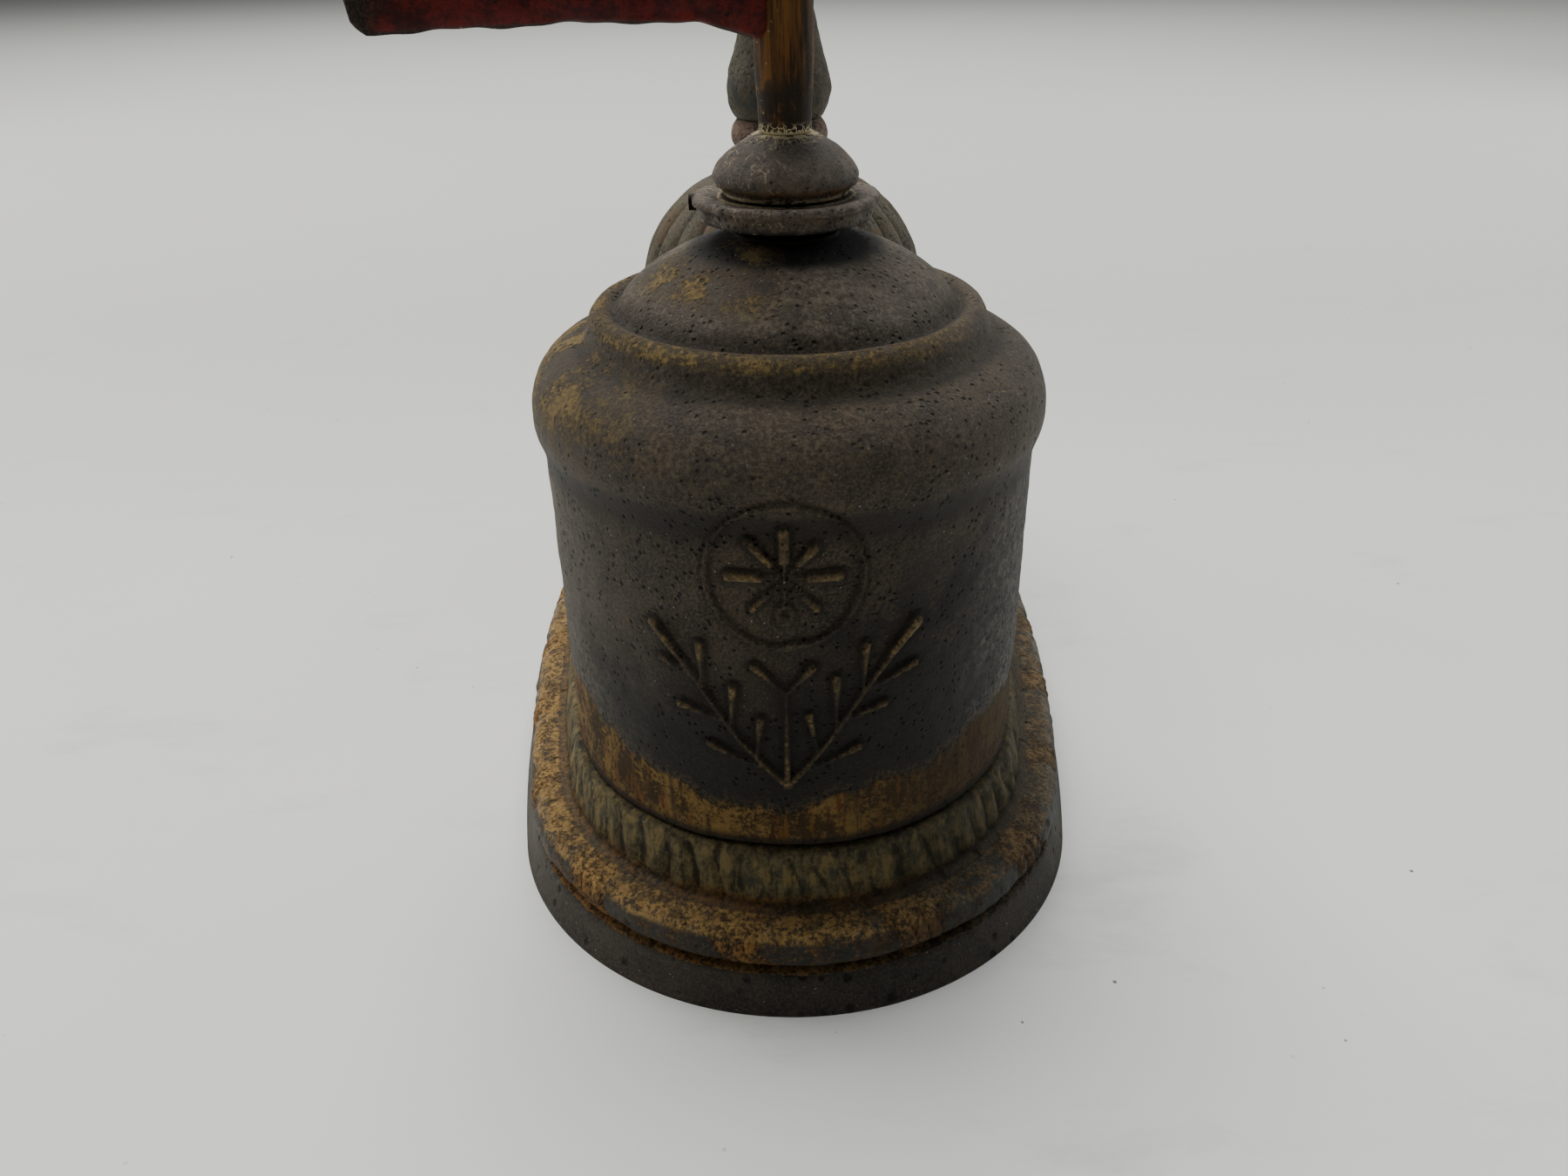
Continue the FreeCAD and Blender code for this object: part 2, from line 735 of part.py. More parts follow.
def make_axe_head():
    """The fireman's axe head: a broad blade to -X and a pick to +X round the handle's eye."""
    body = new_body("axe_head", z=finial_top)
    eye = s.handle_radius + s.eye_wall
    eye_top = s.eye_base + s.eye_height
    side = sketch_on(body, "side_view", "XZ_Plane")
    reach = s.blade_reach
    outline(side, [
        (-s.beard_width, s.blade_base - s.beard_drop),
        (-s.beard_width, s.eye_base),
        (eye - EYE_TUCK, s.eye_base),
        (s.pick_reach, s.eye_base + s.pick_rise),
        (s.pick_reach, s.eye_base + s.pick_rise + s.pick_tip),
        (eye + s.tool_clear, eye_top),
        (-eye, eye_top, -s.blade_top_round),
        (TOP_CORNER[0] - reach, s.blade_top),
        (TOP_CORNER[1] - reach, s.blade_top - TOP_CORNER[2], s.blade_edge_round),
        (-reach, s.blade_base + FOOT_CORNER[1]),
        (FOOT_CORNER[0] - reach, s.blade_base),
        (-s.blade_heel, s.blade_base + s.blade_heel_rise),
        (-s.blade_throat, s.blade_base + s.blade_throat_rise),
    ])
    pad(body, "head_block", side, 2 * eye, symmetric=True)
    plan = sketch_on(body, "plan_view", "XY_Plane")
    for turn in (-1, 1):
        out = turn * (eye + s.tool_clear)
        past = reach + 3 * s.tool_clear
        corners = [
            (-past, turn * s.edge_half),
            (s.bevel_width - past, turn * s.bevel_half),
            (-(eye + BLADE_ROOT[0]), turn * (eye - BLADE_ROOT[1])),
            (-(eye - CHEEK), turn * eye),
            (eye - CHEEK, turn * eye),
            (eye + PICK_ROOT[0], turn * (eye - PICK_ROOT[1])),
            (s.pick_reach + s.tool_clear, turn * s.pick_half),
            (s.pick_reach + s.tool_clear, out),
            (-past, out),
        ]
        outline(plan, corners if turn > 0 else corners[::-1])
    pocket(body, "head_faces", plan, reverse=True)
    bore = sketch_on(body, "eye_bore", "XY_Plane")
    circle(bore, 0, 0, s.handle_radius + s.seat_fit)
    pocket(body, "eye_bore_cut", bore, reverse=True)
    hole = sketch_on(body, "rivet_hole", "XZ_Plane")
    circle(hole, 0, s.eye_base + s.eye_height / 2, s.rivet_radius + s.seat_fit)
    pocket(body, "rivet_hole_cut", hole, 4 * s.handle_radius, symmetric=True)


def make_axe_fixings():
    """The rivet through eye and handle, and the wedge in the handle's top."""
    half = s.handle_radius + s.eye_wall
    end = half + s.rivet_head_height
    turned("eye_rivet", "Y", [
        (-end, 0),
        (end, 0),
        (end, s.rivet_head - s.rivet_head_edge),
        (half, s.rivet_head),
        (half, s.rivet_radius),
        (-half, s.rivet_radius),
        (-half, s.rivet_head),
        (-end, s.rivet_head - s.rivet_head_edge),
    ], z=finial_top + s.eye_base + s.eye_height / 2)
    wedge = new_body("handle_wedge", z=handle_top - s.wedge_depth + s.wedge_proud)
    block = sketch_on(wedge, "wedge_side", "XY_Plane")
    width = s.wedge_width / 2 - s.seat_fit
    rectangle(block, -width, -s.wedge_thickness / 2, width, s.wedge_thickness / 2)
    pad(wedge, "wedge_block", block, s.wedge_depth)


# ---- striker housing ----

def make_housing():
    """The domed housing: flange, wall and dome, with a lever slot, bush boss and screw lugs."""
    wall_in = s.housing_radius - s.housing_wall
    dome = s.housing_rise - s.housing_skirt
    reach = s.housing_radius - s.top_flat
    dome_round = (reach * reach + dome * dome) / (2 * dome) + s.dome_ease
    body = turned("striker_housing", "Z", [
        (wall_in, 0),
        (s.housing_radius + s.housing_flange, 0),
        (s.housing_radius + s.housing_flange, s.flange_thickness),
        (s.housing_radius, s.flange_thickness + s.flange_fillet),
        (s.housing_radius, s.housing_skirt, dome_round),
        (s.top_flat, s.housing_rise),
        (0, s.housing_rise),
        (0, s.housing_rise - s.housing_wall),
        (s.top_flat, s.housing_rise - s.housing_wall, -(dome_round - s.housing_wall)),
        (wall_in, s.housing_skirt),
    ], y=rear, z=s.deck_height)
    boss = sketch_on(body, "bush_boss", "XZ_Plane", s.housing_radius + s.bush_boss_reach)
    circle(boss, 0, s.rod_height, s.bush_radius + s.bush_boss_wall)
    pad(body, "bush_boss_pad", boss, s.bush_length, reverse=True)
    bore = sketch_on(body, "bush_bore", "XZ_Plane", s.housing_radius + s.bush_boss_reach)
    circle(bore, 0, s.rod_height, s.bush_radius + s.seat_fit)
    pocket(body, "bush_bore_cut", bore, 2 * s.bush_length)
    lugs = sketch_on(body, "lugs", "XY_Plane")
    for x, y in lug_places(Size.of(0)):
        circle(lugs, x, y, s.lug_radius)
    pad(body, "lug_pads", lugs, s.lug_height)
    taps = sketch_on(body, "lug_holes", "XY_Plane")
    for x, y in lug_places(Size.of(0)):
        circle(taps, x, y, s.frame_screw_radius + s.seat_fit)
    pocket(body, "lug_holes_cut", taps, s.lug_height - s.lug_cover, reverse=True)
    slot = sketch_on(body, "lever_slot", "XY_Plane", s.housing_rise)
    rectangle(slot, -s.slot_width / 2, -s.slot_front, s.slot_width / 2, s.slot_back)
    pocket(body, "lever_slot_cut", slot, 4 * s.housing_wall)


def screw_group(name, places, top, length, downward=True):
    """Four pan-head screws in one node; they enter downwards, or upwards from under the deck."""
    body = new_body(name)
    sign = -1 if downward else 1
    shank = sketch_on(body, name + "_shanks", "XY_Plane", top)
    head = sketch_on(body, name + "_heads", "XY_Plane", top)
    for x, y in places:
        circle(shank, x, y, s.frame_screw_radius)
        circle(head, x, y, s.frame_screw_head)
    body.AllowCompound = True
    pad(body, name + "_heads_pad", head, s.frame_screw_head_height, reverse=sign > 0)
    pad(body, name + "_shanks_pad", shank, length, reverse=sign < 0)


# ---- striker mechanism ----

def make_frame():
    """The striker's frame: a foot plate, two cheeks for the pivot and a tab for the rear bush."""
    body = new_body("striker_frame", y=rear, z=s.deck_height)
    plate = sketch_on(body, "foot_plate", "XY_Plane")
    rectangle(plate, -s.frame_half_width, -s.frame_front, s.frame_half_width, s.frame_back)
    pad(body, "foot_plate_pad", plate, s.frame_plate)
    inner = s.lever_hub_half + s.spacer_thickness + 2 * s.side_play
    height = pivot_z - s.deck_height
    top = height + s.lever_hub_radius
    for side, reverse in (("left", True), ("right", False)):
        lift = -inner if reverse else inner
        cheek = sketch_on(body, side + "_cheek", "YZ_Plane", lift)
        outline(cheek, [
            (-s.cheek_half_length, 0),
            (s.cheek_half_length, 0),
            (s.lever_hub_radius, height),
            (s.lever_hub_radius - s.cheek_chamfer, top),
            (s.cheek_chamfer - s.lever_hub_radius, top),
            (-s.lever_hub_radius, height),
        ])
        pad(body, side + "_cheek_pad", cheek, s.cheek_thickness, reverse=reverse)
    pin = sketch_on(body, "pivot_hole", "YZ_Plane")
    circle(pin, 0, height, s.pin_radius + s.seat_fit)
    pocket(body, "pivot_hole_cut", pin, 4 * s.frame_half_width, symmetric=True)
    tab = sketch_on(body, "bush_tab", "XZ_Plane", -s.tab_inset)
    rectangle(tab, -s.tab_half_width, 0, s.tab_half_width, s.rod_height + s.tab_rise)
    pad(body, "bush_tab_pad", tab, s.cheek_thickness, reverse=True)
    hole = sketch_on(body, "bush_hole", "XZ_Plane", -s.tab_inset)
    circle(hole, 0, s.rod_height, s.bush_radius + s.seat_fit)
    pocket(body, "bush_hole_cut", hole, 2 * s.cheek_thickness, symmetric=True)
    screws = sketch_on(body, "screw_holes", "XY_Plane", s.frame_plate)
    for x, y in frame_screw_places():
        circle(screws, x, y - rear, s.frame_screw_radius + s.seat_fit)
    pocket(body, "screw_holes_cut", screws, 2 * s.frame_plate)


def make_pivot():
    """The headed pivot pin, the clip on its far end and the two spacers beside the lever."""
    inner = s.lever_hub_half + s.spacer_thickness + 2 * s.side_play
    outer = inner + s.cheek_thickness
    groove = s.pin_radius - s.pin_groove
    clip_low = outer + s.side_play
    clip_high = clip_low + s.clip_thickness
    turned("pivot_pin", "X", [
        (-(outer + s.pin_head_length), 0),
        (clip_high + s.pin_end, 0),
        (clip_high + s.pin_end, s.pin_radius),
        (clip_high + s.seat_fit, s.pin_radius),
        (clip_high + s.seat_fit, groove),
        (clip_low - s.seat_fit, groove),
        (clip_low - s.seat_fit, s.pin_radius),
        (-outer, s.pin_radius),
        (-outer, s.pin_head_radius),
        (-(outer + s.pin_head_length), s.pin_head_radius),
    ], y=rear, z=pivot_z)
    clip = new_body("pivot_clip", clip_low, rear, pivot_z)
    face = sketch_on(clip, "clip_face", "YZ_Plane")
    circle(face, 0, 0, s.clip_radius)
    circle(face, 0, 0, groove + s.seat_fit)
    pad(clip, "clip_disc", face, s.clip_thickness)
    mouth_cut = sketch_on(clip, "clip_mouth", "YZ_Plane", s.clip_thickness)
    rectangle(mouth_cut, -s.clip_mouth, -(s.clip_radius + s.tool_clear), s.clip_mouth, 0)
    pocket(clip, "clip_mouth_cut", mouth_cut)
    spacers = new_body("pivot_spacers", 0, rear, pivot_z)
    spacers.AllowCompound = True
    for side, reverse in (("left", True), ("right", False)):
        place = s.lever_hub_half + s.side_play
        face = sketch_on(spacers, side + "_spacer", "YZ_Plane", -place if reverse else place)
        circle(face, 0, 0, s.spacer_radius)
        circle(face, 0, 0, s.pin_radius + s.seat_fit)
        pad(spacers, side + "_spacer_pad", face, s.spacer_thickness, reverse=reverse)


def make_lever():
    """The lever: hub, a lower arm whose round end works the rod, and an upper shank with a tang."""
    body = new_body("striker_lever", y=rear, z=pivot_z)
    hub = sketch_on(body, "hub", "YZ_Plane")
    circle(hub, 0, 0, s.lever_hub_radius)
    pad(body, "hub_pad", hub, 2 * s.lever_hub_half, symmetric=True)
    end = sketch_on(body, "round_end", "YZ_Plane")
    circle(end, 0, -s.lever_arm, s.end_radius)
    pad(body, "round_end_pad", end, 2 * s.end_half_width, symmetric=True)
    arm = sketch_on(body, "lower_arm", "YZ_Plane")
    rectangle(arm, -s.arm_half_thickness, -s.lever_arm, s.arm_half_thickness, 0)
    pad(body, "lower_arm_pad", arm, 2 * s.end_half_width, symmetric=True)
    shoulder = ferrule_base - pivot_z
    shank = sketch_on(body, "shank", "XZ_Plane")
    outline(shank, [
        (0, 0),
        (s.shank_radius, 0),
        (s.shank_radius, shoulder),
        (s.tang_radius, shoulder),
        (s.tang_radius, shoulder + s.tang_length),
        (0, shoulder + s.tang_length),
    ])
    revolve(body, "shank_turned", shank, "V_Axis")
    bore = sketch_on(body, "pivot_bore", "YZ_Plane")
    circle(bore, 0, 0, s.pin_radius + s.running_fit)
    pocket(body, "pivot_bore_cut", bore, 4 * s.lever_hub_half, symmetric=True)


def make_grip():
    """The ferrule and the bulbous grip on the lever's tang."""
    bore = s.tang_radius + s.seat_fit
    turned("grip_ferrule", "Z", [
        (bore, 0),
        (s.ferrule_radius - s.ferrule_foot, 0, s.ferrule_round),
        (s.ferrule_radius, s.ferrule_height / 2, s.ferrule_round),
        (s.ferrule_radius - s.ferrule_shoulder, s.ferrule_height),
        (bore, s.ferrule_height),
    ], y=rear, z=ferrule_base)
    tang_top = s.tang_length - s.ferrule_height + s.tang_gap
    turned("lever_grip", "Z", [
        (bore, 0),
        (s.grip_neck, 0),
        (s.grip_radius, s.grip_belly, s.grip_belly_round),
        (s.grip_radius - s.grip_belly_drop, s.grip_belly + s.grip_belly_length),
        (s.grip_waist, s.grip_height - s.grip_nose, s.grip_nose_round),
        (s.grip_top, s.grip_height),
        (0, s.grip_height),
        (0, tang_top),
        (bore, tang_top),
    ], y=rear, z=ferrule_base + s.ferrule_height)


def make_rod():
    """The striker rod, with a window for the lever's round end, and its guide bushes."""
    window = s.window_half_length
    rod_start = head_front + s.head_length - s.rod_in_head
    rod_end = tab_front + s.cheek_thickness + s.rod_tail
    body = turned("striker_rod", "Y", [
        (rod_start, 0),
        (rod_end, 0),
        (rod_end, s.rod_radius),
        (rod_start, s.rod_radius),
    ], z=rod_z)
    block = sketch_on(body, "window_block", "XY_Plane", -s.window_half_height)
    rectangle(block, -s.window_half_width, rear - window, s.window_half_width, rear + window)
    pad(body, "window_block_pad", block, 2 * s.window_half_height)
    hole = sketch_on(body, "window", "XY_Plane", s.window_half_height)
    half_x = s.end_half_width + s.window_play
    half_y = s.end_radius + s.window_play
    rectangle(hole, -half_x, rear - half_y, half_x, rear + half_y)
    pocket(body, "window_cut", hole)
    bore = s.rod_radius + s.running_fit
    turned("front_rod_bush", "Y", [
        (-s.bush_flange_thickness, bore),
        (s.bush_length, bore),
        (s.bush_length, s.bush_radius),
        (0, s.bush_radius),
        (0, s.bush_flange),
        (-s.bush_flange_thickness, s.bush_flange),
    ], y=front_bush, z=rod_z)
    nose = tab_front - (rear + window + s.stop_gap)
    tail = s.cheek_thickness + s.rear_bush_tail
    flange = s.bush_flange - s.rear_flange_trim
    turned("rear_rod_bush", "Y", [
        (-nose, bore),
        (tail, bore),
        (tail, s.bush_radius),
        (0, s.bush_radius),
        (0, flange),
        (-s.bush_flange_thickness, flange),
        (-s.bush_flange_thickness, s.bush_radius),
        (-nose, s.bush_radius),
    ], y=tab_front, z=rod_z)


def make_striker_head():
    """The brass striker head and the lock nut behind it."""
    bore = s.rod_radius + s.seat_fit
    turned("striker_head", "Y", [
        (0, 0),
        (s.head_web, 0),
        (s.head_web, bore),
        (s.head_length, bore),
        (s.head_length, s.head_radius - s.head_tail_drop),
        (s.head_length - s.head_tail, s.head_radius),
        (s.head_nose, s.head_radius, s.head_nose_round),
        (0, s.head_radius - s.head_face_inset),
    ], y=head_front, z=rod_z)
    nut = new_body("head_lock_nut", 0, head_front + s.head_length, rod_z)
    face = sketch_on(nut, "nut_face", "XZ_Plane")
    hexagon(face, s.lock_nut_across)
    circle(face, 0, 0, bore)
    pad(nut, "nut_block", face, s.lock_nut_thickness, reverse=True)


def make_spring():
    """The return spring on the rod, between the front bush and the window block."""
    start = front_bush + s.bush_length + s.spring_wire + s.stop_gap / 2
    end = rear - s.window_half_length - s.spring_wire - s.stop_gap / 2
    body = new_body("return_spring", y=start, z=rod_z)
    wire = sketch_on(body, "wire_section", "YZ_Plane")
    circle(wire, 0, s.spring_radius, s.spring_wire)
    coil = body.newObject("PartDesign::AdditiveHelix", "coil")
    coil.Profile = wire
    coil.ReferenceAxis = (wire, ["H_Axis"])
    coil.Mode = "height-turns-angle"
    bind(coil, "Height", end - start)
    bind(coil, "Turns", s.spring_turns)
    coil.Angle = 0


make_base_casting()
make_bell()
make_pillar()
make_pillar_fixings()
make_collar()
make_finial()
make_set_screw()
make_handle()
make_axe_head()
make_axe_fixings()
make_housing()
screw_group("housing_screws", list(lug_places(rear)), deck_under,
            s.casting_wall + s.lug_height - s.lug_screw_gap, downward=False)
screw_group("frame_screws", list(frame_screw_places()), s.deck_height + s.frame_plate,
            s.frame_plate + s.casting_wall + s.boss_depth)
make_frame()
make_pivot()
make_lever()
make_grip()
make_rod()
make_striker_head()
make_spring()
doc.recompute()

# ---- check and write ----

for item in doc.Objects:
    if "Invalid" in item.State or "Error" in item.State:
        raise RuntimeError(f"{item.Name} failed: {item.State}")
bodies = [item for item in doc.Objects if item.TypeId == "PartDesign::Body"]
for body in bodies:
    if body.Shape.isNull() or not body.Shape.isValid():
        raise RuntimeError(f"{body.Label} has no valid shape")
os.makedirs("parts", exist_ok=True)
for body in bodies:
    body.Shape.exportStep(f"parts/{body.Label}.step")
    print(body.Label, len(body.Shape.Solids), round(body.Shape.Volume, 1))
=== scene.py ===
# %% [markdown]
# # A fire alarm bell in old cast iron
# The bell stands on an oval base with an axe on a post above it and a striker housing behind.
# The CAD frame holds every place and size. This script gives the visible castings their worn
# surfaces: it spins, sweeps and dents meshes inside the CAD boxes and paints them with nodes.

# %% Load the frame
import json
import math

import bmesh
import bpy
import numpy as np
from mathutils import Euler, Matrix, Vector


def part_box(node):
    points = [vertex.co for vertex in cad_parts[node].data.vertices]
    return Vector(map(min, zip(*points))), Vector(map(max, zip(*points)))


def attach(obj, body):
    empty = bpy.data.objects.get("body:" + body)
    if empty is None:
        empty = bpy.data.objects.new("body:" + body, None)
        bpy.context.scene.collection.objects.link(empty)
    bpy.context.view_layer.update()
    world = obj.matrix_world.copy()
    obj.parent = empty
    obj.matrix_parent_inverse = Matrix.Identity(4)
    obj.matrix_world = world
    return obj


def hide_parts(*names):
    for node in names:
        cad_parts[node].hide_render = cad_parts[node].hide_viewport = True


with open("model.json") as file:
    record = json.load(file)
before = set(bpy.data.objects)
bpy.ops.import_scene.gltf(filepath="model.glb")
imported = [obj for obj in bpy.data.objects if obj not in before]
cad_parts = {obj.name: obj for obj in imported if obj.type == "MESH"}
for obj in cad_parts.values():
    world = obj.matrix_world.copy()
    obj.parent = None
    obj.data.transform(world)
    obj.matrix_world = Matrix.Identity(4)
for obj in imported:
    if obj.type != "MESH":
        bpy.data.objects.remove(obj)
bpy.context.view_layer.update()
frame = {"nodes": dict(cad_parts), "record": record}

MM = 0.001
print("nodes in the frame:", len(frame["nodes"]))

# %% [markdown]
# ## Places
# Every place comes from the boxes of the CAD nodes, so the pieces land where the frame is.

# %% Places read from the frame
bell_low, bell_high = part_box("bell")
base_low, base_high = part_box("base_casting")
house_low, house_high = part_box("striker_housing")
BELL_RADIUS = (bell_high.x - bell_low.x) / 2
MOUTH = bell_low.z
FOOT_RADIUS = -base_low.y
REAR = base_high.y - FOOT_RADIUS
HALF_WIDTH = base_high.x
print("bell radius", round(BELL_RADIUS, 4), "rear axis", round(REAR, 4))

# %% [markdown]
# ## Camera
# A phone camera held a hand's length above and in front of the bell. Its distance and height
# are given in bell radii, because those ratios set the perspective.

# %% Camera
MOUTH_RADIUS = 0.045
LENS = 27.06
EYE_BACK = 4.596
EYE_UP = 3.218
PITCH_DOWN = math.radians(29.5)
YAW = 0.007
ROLL = 0.017
ORBIT = -0.012
camera_data = bpy.data.cameras.new("camera")
camera_data.sensor_width = 36.0
camera_data.lens = LENS
camera_data.clip_start = 0.01
camera = bpy.data.objects.new("camera", camera_data)
bpy.context.scene.collection.objects.link(camera)
bpy.context.scene.camera = camera
eye = Vector((0, -EYE_BACK * MOUTH_RADIUS, MOUTH + EYE_UP * MOUTH_RADIUS))
eye.rotate(Euler((0, 0, ORBIT)))
camera.location = eye
turn = Euler((0, 0, YAW + ORBIT)).to_matrix()
turn = turn @ Euler((math.pi / 2 - PITCH_DOWN, 0, 0)).to_matrix()
turn = turn @ Euler((0, 0, -ROLL)).to_matrix()
camera.rotation_euler = turn.to_euler()

# %% [markdown]
# ## Floor
# The bell stands on pale paper. One large flat face is enough, since nothing else is in view
# and a curved backdrop would only add a seam.

# %% Floor
FLOOR_SIZE = 14.0


def make_floor():
    """A flat pale sheet under the object."""
    mesh = bpy.data.meshes.new("floor")
    bm = bmesh.new()
    bmesh.ops.create_grid(bm, x_segments=1, y_segments=1, size=FLOOR_SIZE)
    bm.to_mesh(mesh)
    bm.free()
    floor = bpy.data.objects.new("floor", mesh)
    floor.location.z = base_low.z
    bpy.context.scene.collection.objects.link(floor)
    return floor


floor = make_floor()

# %% [markdown]
# ## Light
# A sky picture could light the scene, but soft boxes are easier to place. A wide one hangs
# above and a little behind, so the crown and shoulders catch the light and the front wall
# stays dark. Two small ones lift the sides, and the world fills the rest faintly.

# %% Lights


def area_light(name, place, target, size, watts, colour=(1, 1, 1)):
    """A square soft box that points at a target."""
    data = bpy.data.lights.new(name, "AREA")
    data.shape = "SQUARE"
    data.size = size
    data.energy = watts
    data.color = colour
    light = bpy.data.objects.new(name, data)
    light.location = place
    light.rotation_euler = (Vector(target) - Vector(place)).to_track_quat("-Z", "Y").to_euler()
    bpy.context.scene.collection.objects.link(light)


area_light("overhead", (-0.3, 1.1, 2.3), (0, 0.1, 0.0), 2.4, 112.0, (1.0, 0.985, 0.955))
area_light("right_window", (1.2, 0.8, 0.55), (0, 0, 0.07), 0.6, 4.5, (0.93, 0.97, 1.0))
area_light("left_window", (-1.3, 0.6, 0.6), (0, 0, 0.07), 0.6, 6.0, (1.0, 0.97, 0.93))
world = bpy.data.worlds.new("studio")
bpy.context.scene.world = world
world.use_nodes = True
world.node_tree.nodes["Background"].inputs["Color"].default_value = (0.86, 0.90, 0.92, 1)
world.node_tree.nodes["Background"].inputs["Strength"].default_value = 0.13

# %% [markdown]
# ## Shader maths
# Node materials are easier to read as sums. `Wire` wraps one output socket: adding or
# multiplying wires adds Math nodes. `Finish` builds one material and makes every other node.

# %% Wires and finishes


class Wire:
    """One output socket; arithmetic on it adds Math nodes."""

    def __init__(self, finish, socket):
        self.finish = finish
        self.socket = socket

    def math(self, operation, first, second=None):
        """A Math node on one or two values."""
        values = [first] if second is None else [first, second]
        return self.finish.node("ShaderNodeMath", {"operation": operation}, dict(enumerate(values)))

    def __add__(self, other):
        return self.math("ADD", self, other)

    def __sub__(self, other):
        return self.math("SUBTRACT", self, other)

    def __mul__(self, other):
        return self.math("MULTIPLY", self, other)

    def __rsub__(self, other):
        return self.math("SUBTRACT", other, self)

    __radd__ = __add__
    __rmul__ = __mul__

    def size(self):
        """The value without its sign."""
        return self.math("ABSOLUTE", self)

    def most(self, other):
        return self.math("MAXIMUM", self, other)

    def least(self, other):
        return self.math("MINIMUM", self, other)


class Finish:
    """One material: a Principled shader and the nodes that feed it."""

    def __init__(self, name):
        self.material = bpy.data.materials.new(name)
        self.material.use_nodes = True
        self.tree = self.material.node_tree
        self.shader = self.tree.nodes["Principled BSDF"]
        place = self.node("ShaderNodeTexCoord", {}, {}, "Object")
        self.place = self.node("ShaderNodeVectorMath", {"operation": "SCALE"},
                               {0: place, "Scale": 1 / MM})
        parts = self.node("ShaderNodeSeparateXYZ", {}, {0: self.place}, None)
        self.x, self.y, self.z = (Wire(self, parts.outputs[name]) for name in "XYZ")

    def node(self, kind, settings, inputs, output=0):
        """Add a node: its settings first, then values or links for its inputs."""
        node = self.tree.nodes.new(kind)
        for name, value in settings.items():
            setattr(node, name, value)
        for name, value in inputs.items():
            if isinstance(value, Wire):
                self.tree.links.new(value.socket, node.inputs[name])
            else:
                node.inputs[name].default_value = value
        return node if output is None else Wire(self, node.outputs[output])

    def grain(self, size, detail=4.0, roughness=0.6, stretch=(1, 1, 1), seed=0.0):
        """Noise from 0 to 1 whose blobs are about size millimetres across."""
        scaled = self.node("ShaderNodeVectorMath", {"operation": "MULTIPLY_ADD"},
                           {0: self.place, 1: stretch, 2: (seed, seed * 1.7, seed * 0.6)})
        return self.node("ShaderNodeTexNoise", {},
                         {"Vector": scaled, "Scale": 1 / size, "Detail": detail,
                          "Roughness": roughness})

    def cells(self, size, seed=0.0):
        """Distance to the nearest of scattered points about size millimetres apart."""
        shifted = self.node("ShaderNodeVectorMath", {"operation": "ADD"},
                            {0: self.place, 1: (seed, seed, seed)})
        return self.node("ShaderNodeTexVoronoi", {}, {"Vector": shifted, "Scale": 1 / size})

    def ease(self, value, low, high):
        """0 below low, 1 above high and smooth between; swap them to run the other way."""
        return self.node("ShaderNodeMapRange", {"interpolation_type": "SMOOTHSTEP"},
                         {"Value": value, "From Min": low, "From Max": high})

    def mix(self, first, second, mask):
        """Blend two colours by a mask."""
        inputs = {0: mask}
        for index, colour in ((6, first), (7, second)):
            inputs[index] = colour if isinstance(colour, Wire) else (*colour, 1)
        return self.node("ShaderNodeMix", {"data_type": "RGBA"}, inputs, 2)

    def attribute(self, name):
        """A value stored on the piece's vertices."""
        return self.node("ShaderNodeAttribute", {"attribute_name": name}, {}, "Fac")

    def bump(self, height, distance, strength=1.0):
        """Feed a height in millimetres to the shader's normal."""
        normal = self.node("ShaderNodeBump", {}, {"Height": height, "Distance": distance * MM,
                                                  "Strength": strength})
        self.tree.links.new(normal.socket, self.shader.inputs["Normal"])

    def finish(self, colour, roughness, metallic=0.0, **constants):
        """Connect colour, roughness and metallic, and set the constants on their sockets."""
        for name, value in (("Base Color", colour), ("Roughness", roughness), ("Metallic", metallic)):
            if isinstance(value, Wire):
                self.tree.links.new(value.socket, self.shader.inputs[name])
            else:
                self.shader.inputs[name].default_value = (*value, 1) if name == "Base Color" else value
        for name, value in constants.items():
            self.shader.inputs[name.replace("_", " ")].default_value = value
        return self.material


# %% [markdown]
# ## Floor paper
# White packing paper is nearly even, with faint fibres and a few dark specks. It darkens a
# little towards the back, where a real sheet falls away from the light.

# %% Paper


def paper():
    """Matt off-white paper with sparse specks."""
    f = Finish("paper")
    tone = f.grain(180.0, 3.0)
    colour = f.mix((0.74, 0.75, 0.72), (0.83, 0.84, 0.81), tone)
    speck = f.ease(f.cells(9.0, 3.0), 0.055, 0.035) * f.ease(f.grain(40.0, 2.0, seed=9.0), 0.52, 0.64)
    smudge = f.ease(f.grain(60.0, 6.0, 0.65, (1.0, 2.2, 1.0), 19.0), 0.56, 0.74)
    colour = f.mix(colour, (0.62, 0.63, 0.61), smudge * 0.6)
    colour = f.mix(colour, (0.52, 0.525, 0.50), f.ease(f.y, -60.0, 420.0) * 0.8)
    colour = f.mix(colour, (0.20, 0.18, 0.15), speck)
    f.bump(f.grain(1.2, 6.0, 0.7), 0.05, 0.4)
    return f.finish(colour, 0.9)


floor.data.materials.append(paper())

# %% [markdown]
# ## Old cast iron
# All the castings share one recipe: dark brown-black iron, cloudy at the scale of a fingertip,
# speckled at the scale of sand, with round pits and small painted glints. Each piece then adds
# its own rust and paint.

# %% Iron recipe
IRON_DARK = (0.007, 0.005, 0.003)
IRON_BROWN = (0.088, 0.064, 0.038)
RUST = (0.190, 0.082, 0.017)
RUST_RED = (0.125, 0.028, 0.008)
OCHRE = (0.255, 0.178, 0.062)
TEAL = (0.014, 0.022, 0.018)
BLACK = (0.006, 0.005, 0.004)
CREAM = (0.50, 0.42, 0.25)


